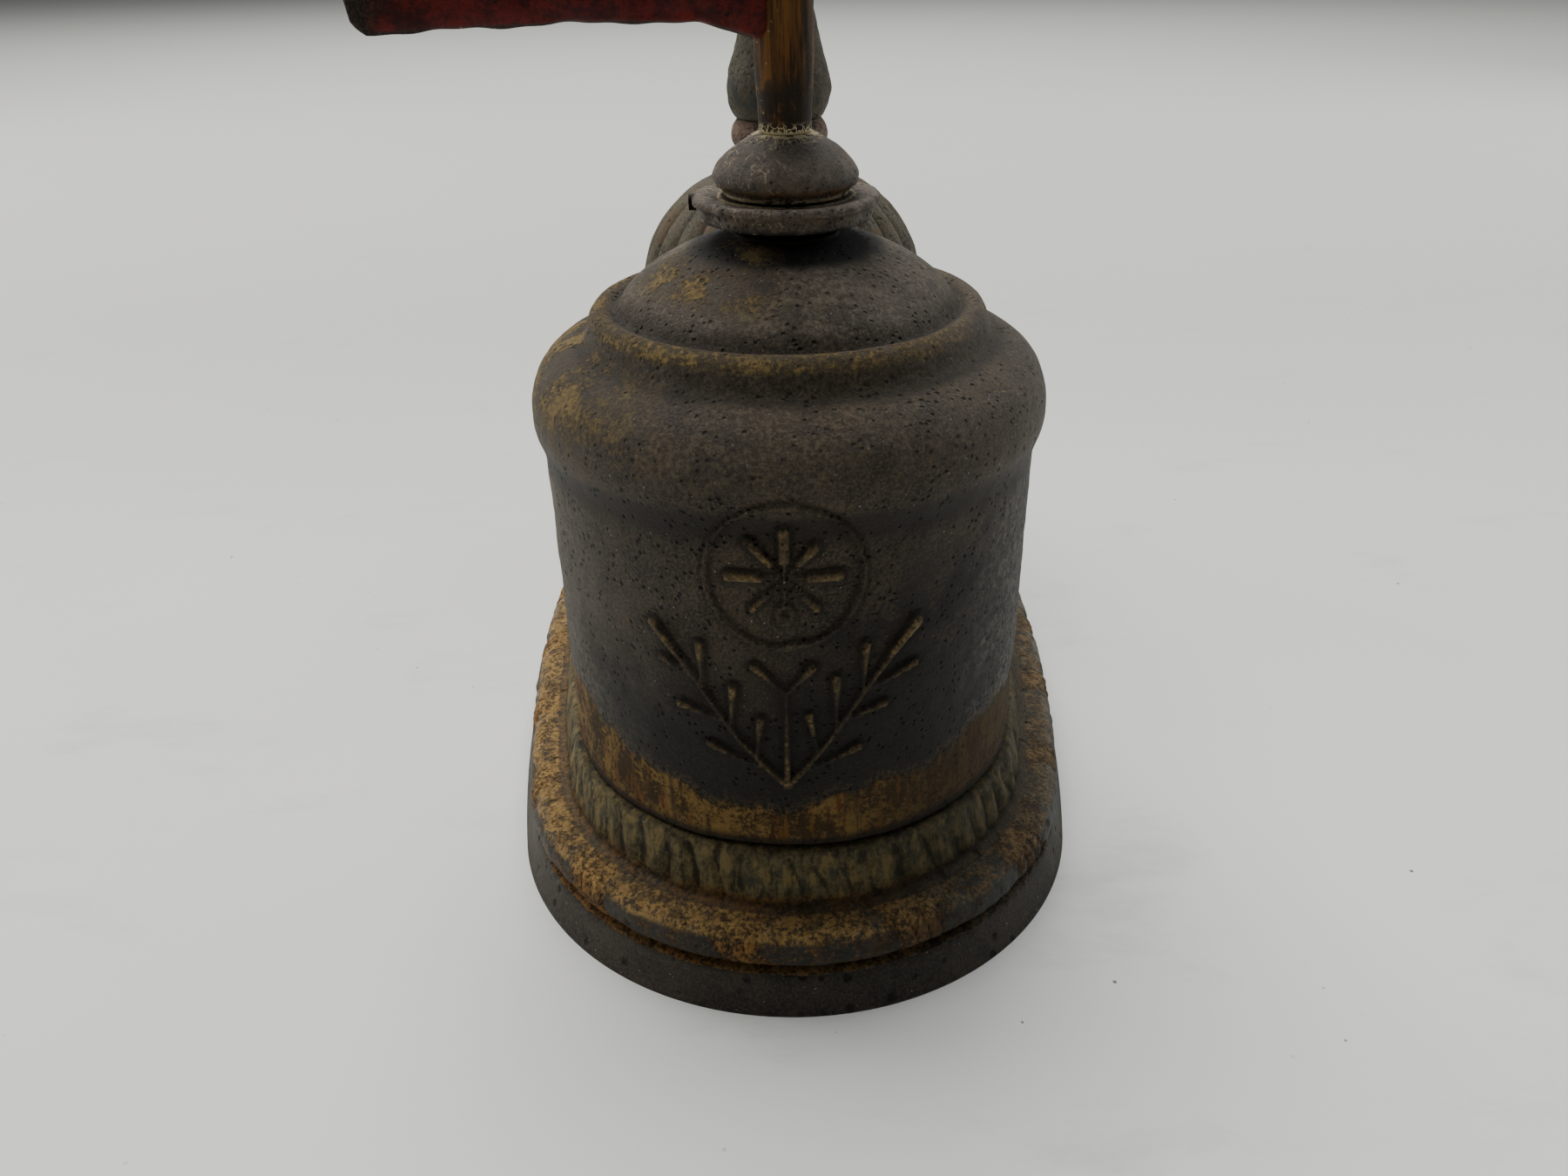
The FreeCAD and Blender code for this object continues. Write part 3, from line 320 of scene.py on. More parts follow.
def iron(f, dark=IRON_DARK, light=IRON_BROWN, pit_size=1.5):
    """Colour, with painted glints, roughness and height of bare old cast iron."""
    cloud = f.ease(f.grain(13.0, 5.0, 0.65), 0.34, 0.68)
    sand = f.grain(0.50, 4.0, 0.75, seed=4.0)
    colour = f.mix(dark, light, (cloud * 0.45 + f.ease(sand, 0.45, 0.58) * 0.75).least(1.0))
    pit = f.ease(f.cells(pit_size, 2.0), 0.30, 0.12) * f.ease(f.grain(6.0, 3.0, seed=7.0), 0.42, 0.56)
    colour = f.mix(colour, BLACK, pit * 0.85)
    # pale dots painted as glints of light on the metal
    painted_glint = f.ease(f.cells(1.9, 5.0), 0.10, 0.05)
    colour = f.mix(colour, (0.36, 0.33, 0.27), painted_glint * 0.8)
    roughness = 0.44 + sand * 0.30 + pit * 0.2
    height = sand * 0.8 + f.grain(2.6, 3.0, seed=2.0) * 0.5 - pit * 1.4
    return colour, roughness, height


# %% [markdown]
# ## Bell surface
# Ochre paint clings to the upper left of the shoulder, along the ring and in the relief. The
# foot of the wall is a rusty band with a wavy top and red streaks, and the right side is grey
# and rough where the paint has gone, under a painted sheen. Shade is painted dark on the lower
# wall, under the shoulder, in the creases, round the relief, under the collar and at the mouth.

# %% Bell finish
MOUTH_MM = MOUTH / MM


def bell_finish():
    """Brown-black iron with ochre residue above and a rusty band at the mouth."""
    f = Finish("bell_iron")
    colour, roughness, height = iron(f)
    up = f.z - MOUTH_MM
    wall = f.ease(up, 72.0, 66.0)
    blotch = f.grain(9.0, 6.0, 0.70, seed=11.0)
    fine = f.grain(0.9, 5.0, 0.80, seed=21.0)
    grit = f.ease(fine, 0.42, 0.60)
    # the lower wall is painted nearly black as shade and dark reflection, reaching higher on the right
    right_shade_lift = f.ease(f.x, -10.0, 25.0) * 22.0
    shaded_lower_wall = wall * f.ease(up + blotch * 30.0 - right_shade_lift, 66.0, 34.0)
    colour = f.mix(colour, (0.0045, 0.0035, 0.002), shaded_lower_wall * (0.97 - grit * 0.14))
    # the right and left edges turn grey: partly real scour, partly a painted sheen
    right = f.ease(f.x + blotch * 30.0, 42.0, 62.0) * wall
    scour = f.ease(f.grain(1.5, 4.0, 0.8, seed=23.0), 0.49, 0.57)
    colour = f.mix(colour, (0.160, 0.150, 0.128), right * (grit * 0.15 + scour * 0.60))
    left = f.ease(f.x - blotch * 26.0, -36.0, -62.0) * wall
    colour = f.mix(colour, (0.140, 0.118, 0.082), left * (0.10 + 0.40 * grit + 0.35 * scour))
    brown = wall * f.ease(f.grain(7.0, 4.0, seed=15.0), 0.52, 0.64) * f.ease(up, 20.0, 50.0)
    colour = f.mix(colour, (0.075, 0.050, 0.026), brown * grit * 0.6)
    # brown dusty shoulder and dome
    top = f.ease(up, 64.0, 76.0)
    dusty = f.mix((0.036, 0.026, 0.014), (0.150, 0.119, 0.076), grit)
    dusty_dome = f.mix((0.070, 0.056, 0.038), (0.215, 0.182, 0.132), grit)
    dusty = f.mix(dusty, dusty_dome, f.ease(up, 86.0, 90.0))
    shade_side = 1.0 - f.ease(f.x + blotch * 20.0, 16.0, 44.0) * 0.4
    colour = f.mix(colour, dusty, top * shade_side * (0.16 + 0.64 * f.ease(blotch, 0.38, 0.62)))
    # painted shadow: the crown round the collar's foot is painted black
    colour = f.mix(colour, BLACK, f.ease(up + (fine - 0.5) * 1.2, 95.6, 96.8) * 0.95)
    # painted shade in the band just under the shoulder's overhang
    under = f.ease(up, 58.0, 63.0) * f.ease(up, 67.5, 64.5)
    colour = f.mix(colour, (0.010, 0.007, 0.004), under * 0.85)
    # painted shade darkens the creases of the dome and the ring
    crease = f.attribute("crease")
    colour = f.mix(colour, (0.008, 0.006, 0.003), crease * 0.8)
    # ochre residue
    shoulder = f.ease(up, 68.0, 75.0) * f.ease(f.x + blotch * 34.0, 4.0, -20.0) * f.ease(up, 84.0, 81.0)
    near_ring = f.ease(f.attribute("ring"), 0.10, 0.60) * f.ease(f.x, 40.0, 0.0)
    dome = f.ease(up, 89.5, 93.5) * f.ease(f.x, 1.0, -7.0) * f.ease(f.y, 2.0, -6.0)
    patches = f.ease(blotch + fine * 0.5, 0.70, 0.84)
    speckle = f.ease(fine, 0.55, 0.66) * f.ease(blotch, 0.44, 0.60)
    ochre = (shoulder * (patches + speckle * 0.6) + near_ring * (0.45 + patches) * (0.35 + grit)
             + dome * (patches * 1.2 + speckle * 0.5) + speckle * top * 0.22).least(1.0)
    colour = f.mix(colour, f.mix((0.150, 0.105, 0.048), OCHRE, grit), ochre)
    cream_chip = f.ease(f.grain(3.2, 3.0, seed=25.0), 0.735, 0.76)
    colour = f.mix(colour, (0.33, 0.22, 0.09), cream_chip * top)
    # the relief keeps ochre on its crests, and the wall round its feet is painted dark as shade
    relief = f.attribute("relief")
    colour = f.mix(colour, (0.012, 0.008, 0.004), f.attribute("foot") * 0.8)
    kept = f.ease(f.grain(2.2, 3.0, seed=27.0), 0.44, 0.64)
    crest = f.ease(relief, 0.40, 0.90) * (0.35 + 0.60 * kept)
    colour = f.mix(colour, f.mix((0.080, 0.052, 0.018), (0.260, 0.172, 0.060), grit), crest)
    # rusty foot with vertical streaks and a wavy top edge
    wave = f.grain(22.0, 4.0, 0.6, stretch=(1, 1, 0.2), seed=31.0)
    sides = f.ease(f.x.size(), 8.0, 40.0)
    edge = up + (0.5 - wave) * 20.0 - sides * 7.0 + (0.5 - fine) * 5.0
    band = f.ease(edge, 10.5, 8.5)
    streak = f.grain(2.2, 5.0, 0.65, stretch=(1, 1, 0.14), seed=41.0)
    rusty = f.mix((0.046, 0.026, 0.007), (0.225, 0.135, 0.038),
                  f.ease(blotch + (fine - 0.5) * 0.9, 0.42, 0.60))
    rusty = f.mix(rusty, RUST, f.ease(streak, 0.56, 0.63) * 0.65)
    red_streak = f.grain(3.0, 4.0, 0.6, (1, 1, 0.2), 45.0)
    rusty = f.mix(rusty, RUST_RED, f.ease(red_streak, 0.60, 0.66) * 0.8)
    rusty = f.mix(rusty, (0.028, 0.018, 0.007), f.ease(streak, 0.47, 0.38) * 0.7)
    # painted shade: the band darkens towards the right
    rusty = f.mix(rusty, (0.040, 0.026, 0.011), f.ease(f.x + blotch * 16.0, 8.0, 38.0) * 0.8)
    # painted shade in the last few millimetres where the mouth sits on the base
    rusty = f.mix(rusty, (0.012, 0.009, 0.006), f.ease(up, 2.6, 0.4) * 0.9)
    colour = f.mix(colour, rusty, band)
    trim = f.ease(edge, 12.5, 9.5) * (1 - band) * grit
    colour = f.mix(colour, (0.110, 0.070, 0.028), trim * 0.6)
    roughness = (roughness + (ochre + band) * 0.24 + shaded_lower_wall * 0.05).least(0.95)
    height = height + ochre * 0.5 + band * f.grain(0.8, 4.0, seed=51.0) * 0.8
    f.bump(height, 0.60, 1.0)
    return f.finish(colour, roughness, 0.0, Specular_IOR_Level=0.30)


# %% [markdown]
# ## Base surface
# The foot band is plain dark iron. The ledge is orange rust, the roped moulding carries the
# last dark-green enamel on its long beads, and the lobed band is mottled olive and yellow.
# Shade is painted into the hollows and troughs and down the right side.

# %% Base finish


def base_finish():
    """Dark foot band, rusty ledge and roped moulding, and a mottled olive lobed band."""
    f = Finish("base_iron")
    colour, roughness, height = iron(f, (0.012, 0.010, 0.007), (0.062, 0.050, 0.034), 4.0)
    blotch = f.grain(6.0, 6.0, 0.72, seed=61.0)
    fine = f.grain(0.8, 5.0, 0.80, seed=63.0)
    grit = f.ease(fine, 0.40, 0.62)
    lump = f.grain(3.4, 4.0, 0.7, seed=65.0)
    zone = f.attribute("zone")
    crest = f.attribute("crest")
    # zone runs 0 foot band, 1 ledge, 2 torus, 3 lobed band, 4 deck
    ledge = f.ease(zone, 0.35, 0.65) * f.ease(zone, 1.75, 1.35)
    torus = f.ease(zone, 1.5, 1.8) * f.ease(zone, 2.6, 2.4)
    lobes = f.ease(zone, 2.5, 2.7)
    left = f.ease(f.x + blotch * 20.0, 20.0, -20.0)
    scrape = f.ease(f.grain(8.0, 3.0, 0.6, (0.3, 0.3, 3.0), 67.0), 0.56, 0.70)
    colour = f.mix(colour, (0.085, 0.068, 0.045), scrape * 0.25 + left * grit * 0.32)
    lumpy = f.ease(lump + (fine - 0.5) * 1.1, 0.44, 0.60)
    rust = f.mix((0.044, 0.024, 0.008), (0.220, 0.125, 0.036), lumpy)
    bright = f.mix(rust, f.mix(RUST, (0.33, 0.155, 0.036), grit),
                   f.ease(blotch + (fine - 0.5) * 0.9, 0.47, 0.59))
    # painted shade: towards the right the rust turns to the darker shadowed colour
    right = f.ease(f.x + blotch * 24.0, 14.0, 46.0)
    shadowed = f.mix((0.022, 0.016, 0.009), (0.085, 0.066, 0.036), lumpy)
    rust = f.mix(rust, shadowed, right * 0.8)
    bright = f.mix(f.mix(bright, (0.36, 0.185, 0.050), left * grit * 0.4), shadowed, right * 0.8)
    edge_rust = f.mix(rust, bright, left)
    edge_rust = f.mix(edge_rust, (0.13, 0.115, 0.095), f.ease(lump, 0.58, 0.66) * 0.6)
    colour = f.mix(colour, edge_rust, ledge)
    mottled = f.mix((0.052, 0.040, 0.017), (0.180, 0.148, 0.066),
                    f.ease(lump * 0.6 + fine * 0.8, 0.50, 0.90))
    mottled = f.mix(mottled, (0.040, 0.044, 0.033),
                    f.ease(f.grain(4.2, 3.0, seed=71.0), 0.54, 0.62) * 0.65)
    streak = f.grain(1.6, 4.0, 0.6, (1, 1, 0.22), 75.0)
    mottled = f.mix(mottled, (0.240, 0.170, 0.062), f.ease(streak + crest * 0.06, 0.56, 0.66) * 0.85)
    mottled = f.mix(mottled, (0.018, 0.013, 0.006), f.ease(streak, 0.45, 0.36) * 0.7)
    # painted shade in the troughs between the lobes
    between = f.ease(crest + (lump - 0.5) * 1.6, 0.42, 0.05)
    mottled = f.mix(mottled, (0.020, 0.014, 0.007), between * 0.8)
    low = f.ease(zone, 3.0, 2.65) * f.ease(blotch + lump, 0.78, 1.02)
    mottled = f.mix(mottled, bright, low * 0.75)
    # painted shade: the lobed band darkens on the right
    mottled = f.mix(mottled, (0.028, 0.024, 0.013), right * 0.45)
    colour = f.mix(colour, mottled, lobes)
    enamel = f.mix(TEAL, (0.012, 0.011, 0.009), f.ease(blotch, 0.45, 0.60))
    enamel = f.mix(enamel, rust, f.ease(fine, 0.54, 0.62) * 0.5)
    worn = f.ease(f.grain(4.5, 5.0, 0.72, seed=81.0) + (fine - 0.5) * 0.4, 0.50, 0.57)
    beads = f.mix(enamel, f.mix(rust, (0.045, 0.036, 0.030), f.ease(lump, 0.44, 0.54)), worn)
    # the rope's ribs: bright rust on their crests, painted shade in the troughs
    ribs = f.mix(bright, (0.024, 0.014, 0.007), f.ease(crest, 0.62, 0.20))
    roped = f.mix(ribs, beads, f.attribute("bead") * 0.9)
    gold = f.ease(zone, 2.10, 2.30)
    # the gold line fades on the right as painted shade
    gold = gold * (1 - right * 0.7) * (0.45 + 0.65 * f.ease(lump, 0.40, 0.58))
    roped = f.mix(roped, f.mix(rust, (0.42, 0.265, 0.085), grit), gold)
    colour = f.mix(colour, roped, torus)
    # painted shade in the hollows under the torus and at the lobed band's foot
    colour = f.mix(colour, BLACK, f.attribute("hollow") * 0.75)
    gloss = torus * f.attribute("bead") * (1 - worn)
    rusty = (ledge + lobes + torus).least(1.0)
    roughness = (roughness + rusty * 0.20 - gloss * 0.30).least(0.95)
    height = height + rusty * (fine * 1.1 + lump * 0.9)
    f.bump(height, 0.50, 1.0)
    return f.finish(colour, roughness, 0.0, Specular_IOR_Level=0.34)


# %% [markdown]
# ## Shapes made of circles
# A casting turned on a pattern-maker's lathe is one outline spun about an axis. The outline
# has few corners; a smooth curve through them is sampled finely, because a cast edge is soft.

# %% Outline and spin helpers


def smooth_outline(corners, step):
    """Points on a Catmull-Rom curve through the corners; a repeated corner stays sharp."""
    points = [Vector(corner) for corner in corners]
    count = len(points)
    smooth = []
    for index in range(count - 1):
        near, far = points[index], points[index + 1]
        if (far - near).length < 1e-9:
            continue
        before = points[index - 1] if index else near
        after = points[index + 2] if index + 2 < count else far
        pieces = max(1, round((far - near).length / step))
        for piece in range(pieces):
            t = piece / pieces
            leave, arrive = t - 2 * t * t + t ** 3, t ** 3 - t * t
            passed = 3 * t * t - 2 * t ** 3
            bend = (far - before) * leave + (after - near) * arrive
            smooth.append(near * (1 - passed) + far * passed + bend / 2)
    smooth.append(points[-1])
    return smooth


def spin_outline(bm, outline, centre, steps, start=0.0, angle=2 * math.pi):
    """Spin (radius, height) points about a vertical axis."""
    facing = Vector((math.cos(start), math.sin(start), 0))
    verts = [bm.verts.new((centre[0] + facing.x * r, centre[1] + facing.y * r, z)) for r, z in outline]
    edges = [bm.edges.new(pair) for pair in zip(verts, verts[1:])]
    bmesh.ops.spin(bm, geom=verts + edges, cent=(centre[0], centre[1], 0), axis=(0, 0, 1),
                   angle=angle, steps=steps, use_merge=angle > 6)


def close_up(bm):
    """Weld the seam and poles, and point the faces outwards."""
    bmesh.ops.remove_doubles(bm, verts=bm.verts, dist=1e-6)
    bmesh.ops.dissolve_degenerate(bm, edges=bm.edges, dist=1e-7)
    bmesh.ops.recalc_face_normals(bm, faces=bm.faces)


def add_piece(name, bm, material, body, slot, *nodes):
    """Make a finished piece, let it ride on its body and stand for its CAD nodes."""
    mesh = bpy.data.meshes.new(name)
    bm.to_mesh(mesh)
    bm.free()
    mesh.shade_smooth()
    mesh.materials.append(material)
    piece = bpy.data.objects.new(name, mesh)
    bpy.context.scene.collection.objects.link(piece)
    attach(piece, body)
    if nodes:
        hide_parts(*nodes)
    triangles = sum(len(face.vertices) - 2 for face in mesh.polygons)
    print(name, "triangles", triangles)
    return piece


def vertex_array(piece):
    """The piece's vertices as rows of x, y, z."""
    flat = np.empty(len(piece.data.vertices) * 3)
    piece.data.vertices.foreach_get("co", flat)
    return flat.reshape(-1, 3)


def store_vertices(piece, places, **values):
    """Write moved vertices back, with named values that the material reads."""
    piece.data.vertices.foreach_set("co", places.ravel())
    for name, value in values.items():
        piece.data.attributes.new(name, "FLOAT", "POINT").data.foreach_set("value", value)
    piece.data.update()


def lumps(places, size, seed, waves=24):
    """Smooth unevenness, mostly within -1 to 1, with lumps of a size in metres."""
    chance = np.random.default_rng(seed)
    ways = chance.normal(size=(waves, 3))
    ways *= (chance.uniform(0.6, 1.5, waves) * math.pi / size / np.linalg.norm(ways, axis=1))[:, None]
    phases = chance.uniform(0, 2 * math.pi, waves)
    return np.cos(places @ ways.T + phases).sum(axis=1) / math.sqrt(waves)


def soft_step(value, low, high):
    """0 below low, 1 above high, smooth between."""
    t = np.clip((value - low) / (high - low), 0, 1)
    return t * t * (3 - 2 * t)


# %% [markdown]
# ## The bell
# The bell is one spin. Its columns are packed closer at the front, so that the cast relief has
# enough vertices to stand up from the wall as real geometry.

# %% Bell outline
FRONT = -math.pi / 2
RELIEF_TURN = -0.036
R0 = 45.0 * MM


def bell_outline():
    """Radius and height of the bell's outer skin, from the mouth to the clamp hole."""
    outer = [(45.0, 0), (45.05, 20.0), (45.1, 45.0), (45.15, 60.0), (45.3, 62.8), (45.8, 64.8),
             (46.45, 67.0), (46.6, 70.0), (46.1, 73.4), (44.6, 76.6), (42.0, 79.2), (39.4, 80.6),
             (37.4, 81.2), (36.3, 81.9), (35.7, 83.2), (35.3, 84.9), (34.6, 86.3), (33.5, 87.1),
             (32.4, 87.0), (31.6, 86.6), (31.0, 86.1), (30.5, 86.0), (30.0, 86.6), (29.3, 87.8),
             (27.9, 89.6), (24.4, 92.4), (20.0, 94.9), (15.0, 96.9), (11.0, 97.75), (7.6, 97.88),
             (4.3, 97.9)]
    return [(r * MM, MOUTH + z * MM) for r, z in outer]


def make_bell():
    """Spin the skin and the hollow inside, pack the columns at the front and raise the relief."""
    outer = smooth_outline(bell_outline(), 0.62 * MM)
    inner = [(4.3, 94.6), (11.0, 94.5), (20.0, 91.6), (27.0, 86.5), (32.5, 81.0), (38.0, 78.0),
             (41.5, 74.5), (42.6, 68.0), (42.0, 30.0), (41.8, 1.0), (42.2, 0.2)]
    inner = [(r * MM, MOUTH + z * MM) for r, z in inner]
    lip = [(44.3 * MM, MOUTH)]
    loop = outer + smooth_outline(inner, 5.0 * MM) + lip
    bm = bmesh.new()
    spin_outline(bm, loop + [loop[0]], (0, 0), 380, FRONT)
    close_up(bm)
    piece = add_piece("bell_cast", bm, bell_finish(), "base", "bell_iron", "bell")
    places = vertex_array(piece)
    radius = np.hypot(places[:, 0], places[:, 1])
    angle = np.arctan2(places[:, 0], -places[:, 1])
    packed = angle - 0.62 * np.sin(angle)
    skin = radius > 44.5 * MM
    relief = relief_height(packed * R0, places[:, 2] - MOUTH) * skin
    height = places[:, 2] - MOUTH
    # a narrow ring round each stroke: pressed in a little, and painted dark as shade by the finish
    foot = np.clip(relief_height(packed * R0, height, 0.8) * 1.5 - relief * 2, 0, 1) * skin
    outside = soft_step(radius, 42.9 * MM, 44.0 * MM) + (height > 76 * MM)
    placed = np.column_stack([radius * np.sin(packed), -radius * np.cos(packed), places[:, 2]])
    dents = lumps(placed, 9 * MM, 3) * 0.10 * MM + lumps(placed, 2.6 * MM, 5) * 0.04 * MM
    swell = (relief * 0.95 - foot * 0.18) * MM + (dents - 0.2 * MM) * np.clip(outside, 0, 1)
    radius = radius + swell
    placed[:, 0] = radius * np.sin(packed)
    placed[:, 1] = -radius * np.cos(packed)
    ring = np.exp(-((radius / MM - 34.0) / 1.9) ** 2 - ((height / MM - 86.2) / 1.5) ** 2)
    # painted shade bands in the crease inside the ring and the step outside it
    crease = np.exp(-((radius / MM - 30.6) / 0.7) ** 2) * (height > 80 * MM)
    crease += 0.8 * np.exp(-((radius / MM - 37.4) / 1.4) ** 2) * (height > 79 * MM)
    store_vertices(piece, placed, relief=relief, foot=foot, ring=ring, crease=crease)
    return piece


# %% [markdown]
# ## The relief on the bell
# A ring with eight club-shaped petals, a short bar, and three leafy sprigs from one foot. Each
# stroke is a line that swells from one end to the other, and the height of the relief at a
# point is that of the nearest stroke.

# %% Relief strokes
STEM = 0.42
LEAF = 0.92
# start, end, half-width at the start, half-width at the end, in millimetres from the wall's
# front line and the mouth
STROKES = [
    ((0, 13.5), (0, 33.0), 0.75, STEM),
    ((0, 33.0), (-5.2, 38.4), STEM, LEAF),
    ((0, 33.0), (4.3, 38.0), STEM, LEAF),
    ((0, 13.5), (-8.3, 23.4), 0.75, 0.6),
    ((-8.3, 23.4), (-14.7, 32.8), 0.6, 0.6),
    ((-14.7, 32.8), (-19.0, 39.0), 0.6, 0.75),
    ((-19.0, 39.0), (-23.2, 43.6), 0.8, 1.05),
    ((-4.5, 17.8), (-13.4, 21.4), STEM, 0.9),
    ((-5.2, 20.0), (-4.4, 27.6), STEM, 0.9),
    ((-9.6, 25.0), (-9.0, 33.8), STEM, LEAF),
    ((-10.8, 26.8), (-18.6, 28.6), STEM, 0.95),
    ((-14.6, 32.6), (-14.4, 41.4), STEM, LEAF),
    ((-16.3, 34.8), (-21.6, 37.2), STEM, 0.8),
    ((0, 13.5), (7.0, 22.6), 0.75, 0.6),
    ((7.0, 22.6), (13.2, 32.4), 0.6, 0.6),
    ((13.2, 32.4), (18.4, 39.4), 0.6, 0.8),
    ((18.4, 39.4), (22.6, 44.0), 0.9, 1.35),
    ((3.8, 17.2), (12.4, 21.0), STEM, 0.9),
    ((5.2, 21.0), (3.8, 28.4), STEM, 0.9),
    ((8.4, 26.2), (8.4, 35.6), STEM, LEAF),
    ((8.8, 26.6), (16.8, 29.2), STEM, LEAF),
    ((13.0, 32.4), (13.4, 41.6), STEM, LEAF),
    ((13.2, 32.4), (22.4, 35.8), STEM, LEAF),
    ((0.3, 42.8), (4.4, 43.0), 0.35, 0.35),
]
RING_CENTRE = (0.0, 55.0)
RING_RADIUS = 12.9
PETALS = [(90, 3.2, 8.2, 1.15), (48, 3.6, 7.4, 0.95), (0, 4.2, 8.6, 1.15), (-48, 4.8, 7.6, 0.8),
          (-132, 4.8, 7.6, 0.8), (180, 4.2, 8.8, 1.15), (132, 3.4, 8.4, 0.95)]


def relief_height(across, up, grow=0.0):
    """0 to 1: how far the relief stands from the wall; grow widens every stroke."""
    u = across / MM - RELIEF_TURN * R0 / MM
    w = up / MM
    height = np.zeros_like(u)

    def raise_to(distance, half_width):
        profile = np.clip(1 - (distance / (half_width + grow)) ** 2, 0, 1) ** 0.5
        np.maximum(height, profile * np.clip(half_width / 0.9, 0.55, 1.0), out=height)

    def stroke(start, end, start_half, end_half):
        line = np.subtract(end, start)
        share = ((u - start[0]) * line[0] + (w - start[1]) * line[1]) / line.dot(line)
        share = np.clip(share, 0, 1)
        distance = np.hypot(u - start[0] - share * line[0], w - start[1] - share * line[1])
        raise_to(distance, start_half + (end_half - start_half) * share ** 1.5)

    for item in STROKES:
        stroke(*item)
    from_centre = np.hypot(u - RING_CENTRE[0], w - RING_CENTRE[1])
    raise_to(np.abs(from_centre - RING_RADIUS), 0.50)
    for degrees, near, far, half in PETALS:
        way = np.array((math.cos(math.radians(degrees)), math.sin(math.radians(degrees))))
        stroke(RING_CENTRE + way * 0.9, RING_CENTRE + way * near, 0.28, 0.35)
        stroke(RING_CENTRE + way * near, RING_CENTRE + way * far, half * 0.8, half)
    drop = np.hypot((u - RING_CENTRE[0]) / 1.0, (w - RING_CENTRE[1] + 6.6) / 1.3)
    raise_to(np.abs(drop - 1.15), 0.5)
    stroke(RING_CENTRE, np.add(RING_CENTRE, (0, -5.0)), 0.28, 0.28)
    return height


make_bell()

# %% [markdown]
# ## The base
# The base is an oval drawn with four arcs: two ends and two long flat sides. Its moulding keeps
# the same outline all round, so each arc is a spin of that outline about the arc's own centre.

# %% Oval
BULGE = HALF_WIDTH - FOOT_RADIUS
SIDE_CENTRE = ((REAR / 2) ** 2 - BULGE ** 2) / (2 * BULGE)
SIDE_RADIUS = SIDE_CENTRE + BULGE + FOOT_RADIUS
LEAN = math.atan2(REAR / 2, SIDE_CENTRE)
# centre x, centre y, radius at the foot, first angle, swept angle
ARCS = [
    (0, 0, FOOT_RADIUS, math.pi + LEAN, math.pi - 2 * LEAN),
    (-SIDE_CENTRE, REAR / 2, SIDE_RADIUS, -LEAN, 2 * LEAN),
    (0, REAR, FOOT_RADIUS, LEAN, math.pi - 2 * LEAN),
    (SIDE_CENTRE, REAR / 2, SIDE_RADIUS, math.pi - LEAN, 2 * LEAN),
]
COLUMN = 0.58 * MM


def spin_round_oval(bm, outline):
    """Spin an outline of (inset from the foot, height) along all four arcs."""
    for x, y, radius, first, swept in ARCS:
        steps = round(swept * radius / COLUMN)
        spin_outline(bm, [(radius - inset, z) for inset, z in outline], (x, y), steps, first, swept)


def along_oval(places):
    """Distance along the oval in metres, inset from the foot, and the outward direction."""
    x, y = places[:, 0], places[:, 1]
    along = np.zeros(len(x))
    inset = np.zeros(len(x))
    out = np.zeros((len(x), 2))
    start = 0.0
    near = np.mod(np.arctan2(y, x) - math.pi - LEAN, 2 * math.pi) <= math.pi - 2 * LEAN
    far = np.mod(np.arctan2(y - REAR, x) - LEAN, 2 * math.pi) <= math.pi - 2 * LEAN
    where = [near & ~far, ~near & ~far & (x > 0), far, ~near & ~far & (x <= 0)]
    for (cx, cy, radius, first, swept), mine in zip(ARCS, where):
        dx, dy = x[mine] - cx, y[mine] - cy
        distance = np.hypot(dx, dy)
        turned = np.mod(np.arctan2(dy, dx) - first + 1.0, 2 * math.pi) - 1.0
        reach = radius - 12 * MM
        along[mine] = start + turned * reach
        inset[mine] = radius - distance
        out[mine] = np.column_stack([dx, dy]) / distance[:, None]
        start += swept * reach
    return along, inset, out, start


# %% Base moulding
LOBES = 104
BEADS = 20
TICKS = 300
CASTING_FLOOR = 23.5
# inset from the foot and height, in millimetres
UNDERSIDE = [(17.05, CASTING_FLOOR), (15.0, 8.3), (5.0, 0.0), (5.0, 0.0)]
FOOT_AND_LEDGE = [(0.32, 0.0), (0.32, 0.0), (0.6, 1.2), (1.45, 3.4), (2.3, 5.8), (2.75, 7.1),
                  (3.2, 7.85), (4.0, 8.25), (5.0, 8.45), (6.6, 8.6), (8.2, 8.5)]
LOBED_BAND = [(10.4, 16.6), (10.9, 17.6), (11.2, 20.0), (11.75, 22.6), (12.35, 25.0), (13.0, 26.9),
              (13.7, 27.42), (14.8, 27.46)]


def base_outline():
    """Inset and height of the moulding, from the hollow underside over the foot to the deck."""
    torus = [(6.75 - 4.25 * math.sin(a), 12.1 - 4.1 * math.cos(a)) for a in np.linspace(0.30, 2.85, 12)]
    return [(d * MM, z * MM) for d, z in UNDERSIDE + FOOT_AND_LEDGE + torus + LOBED_BAND]


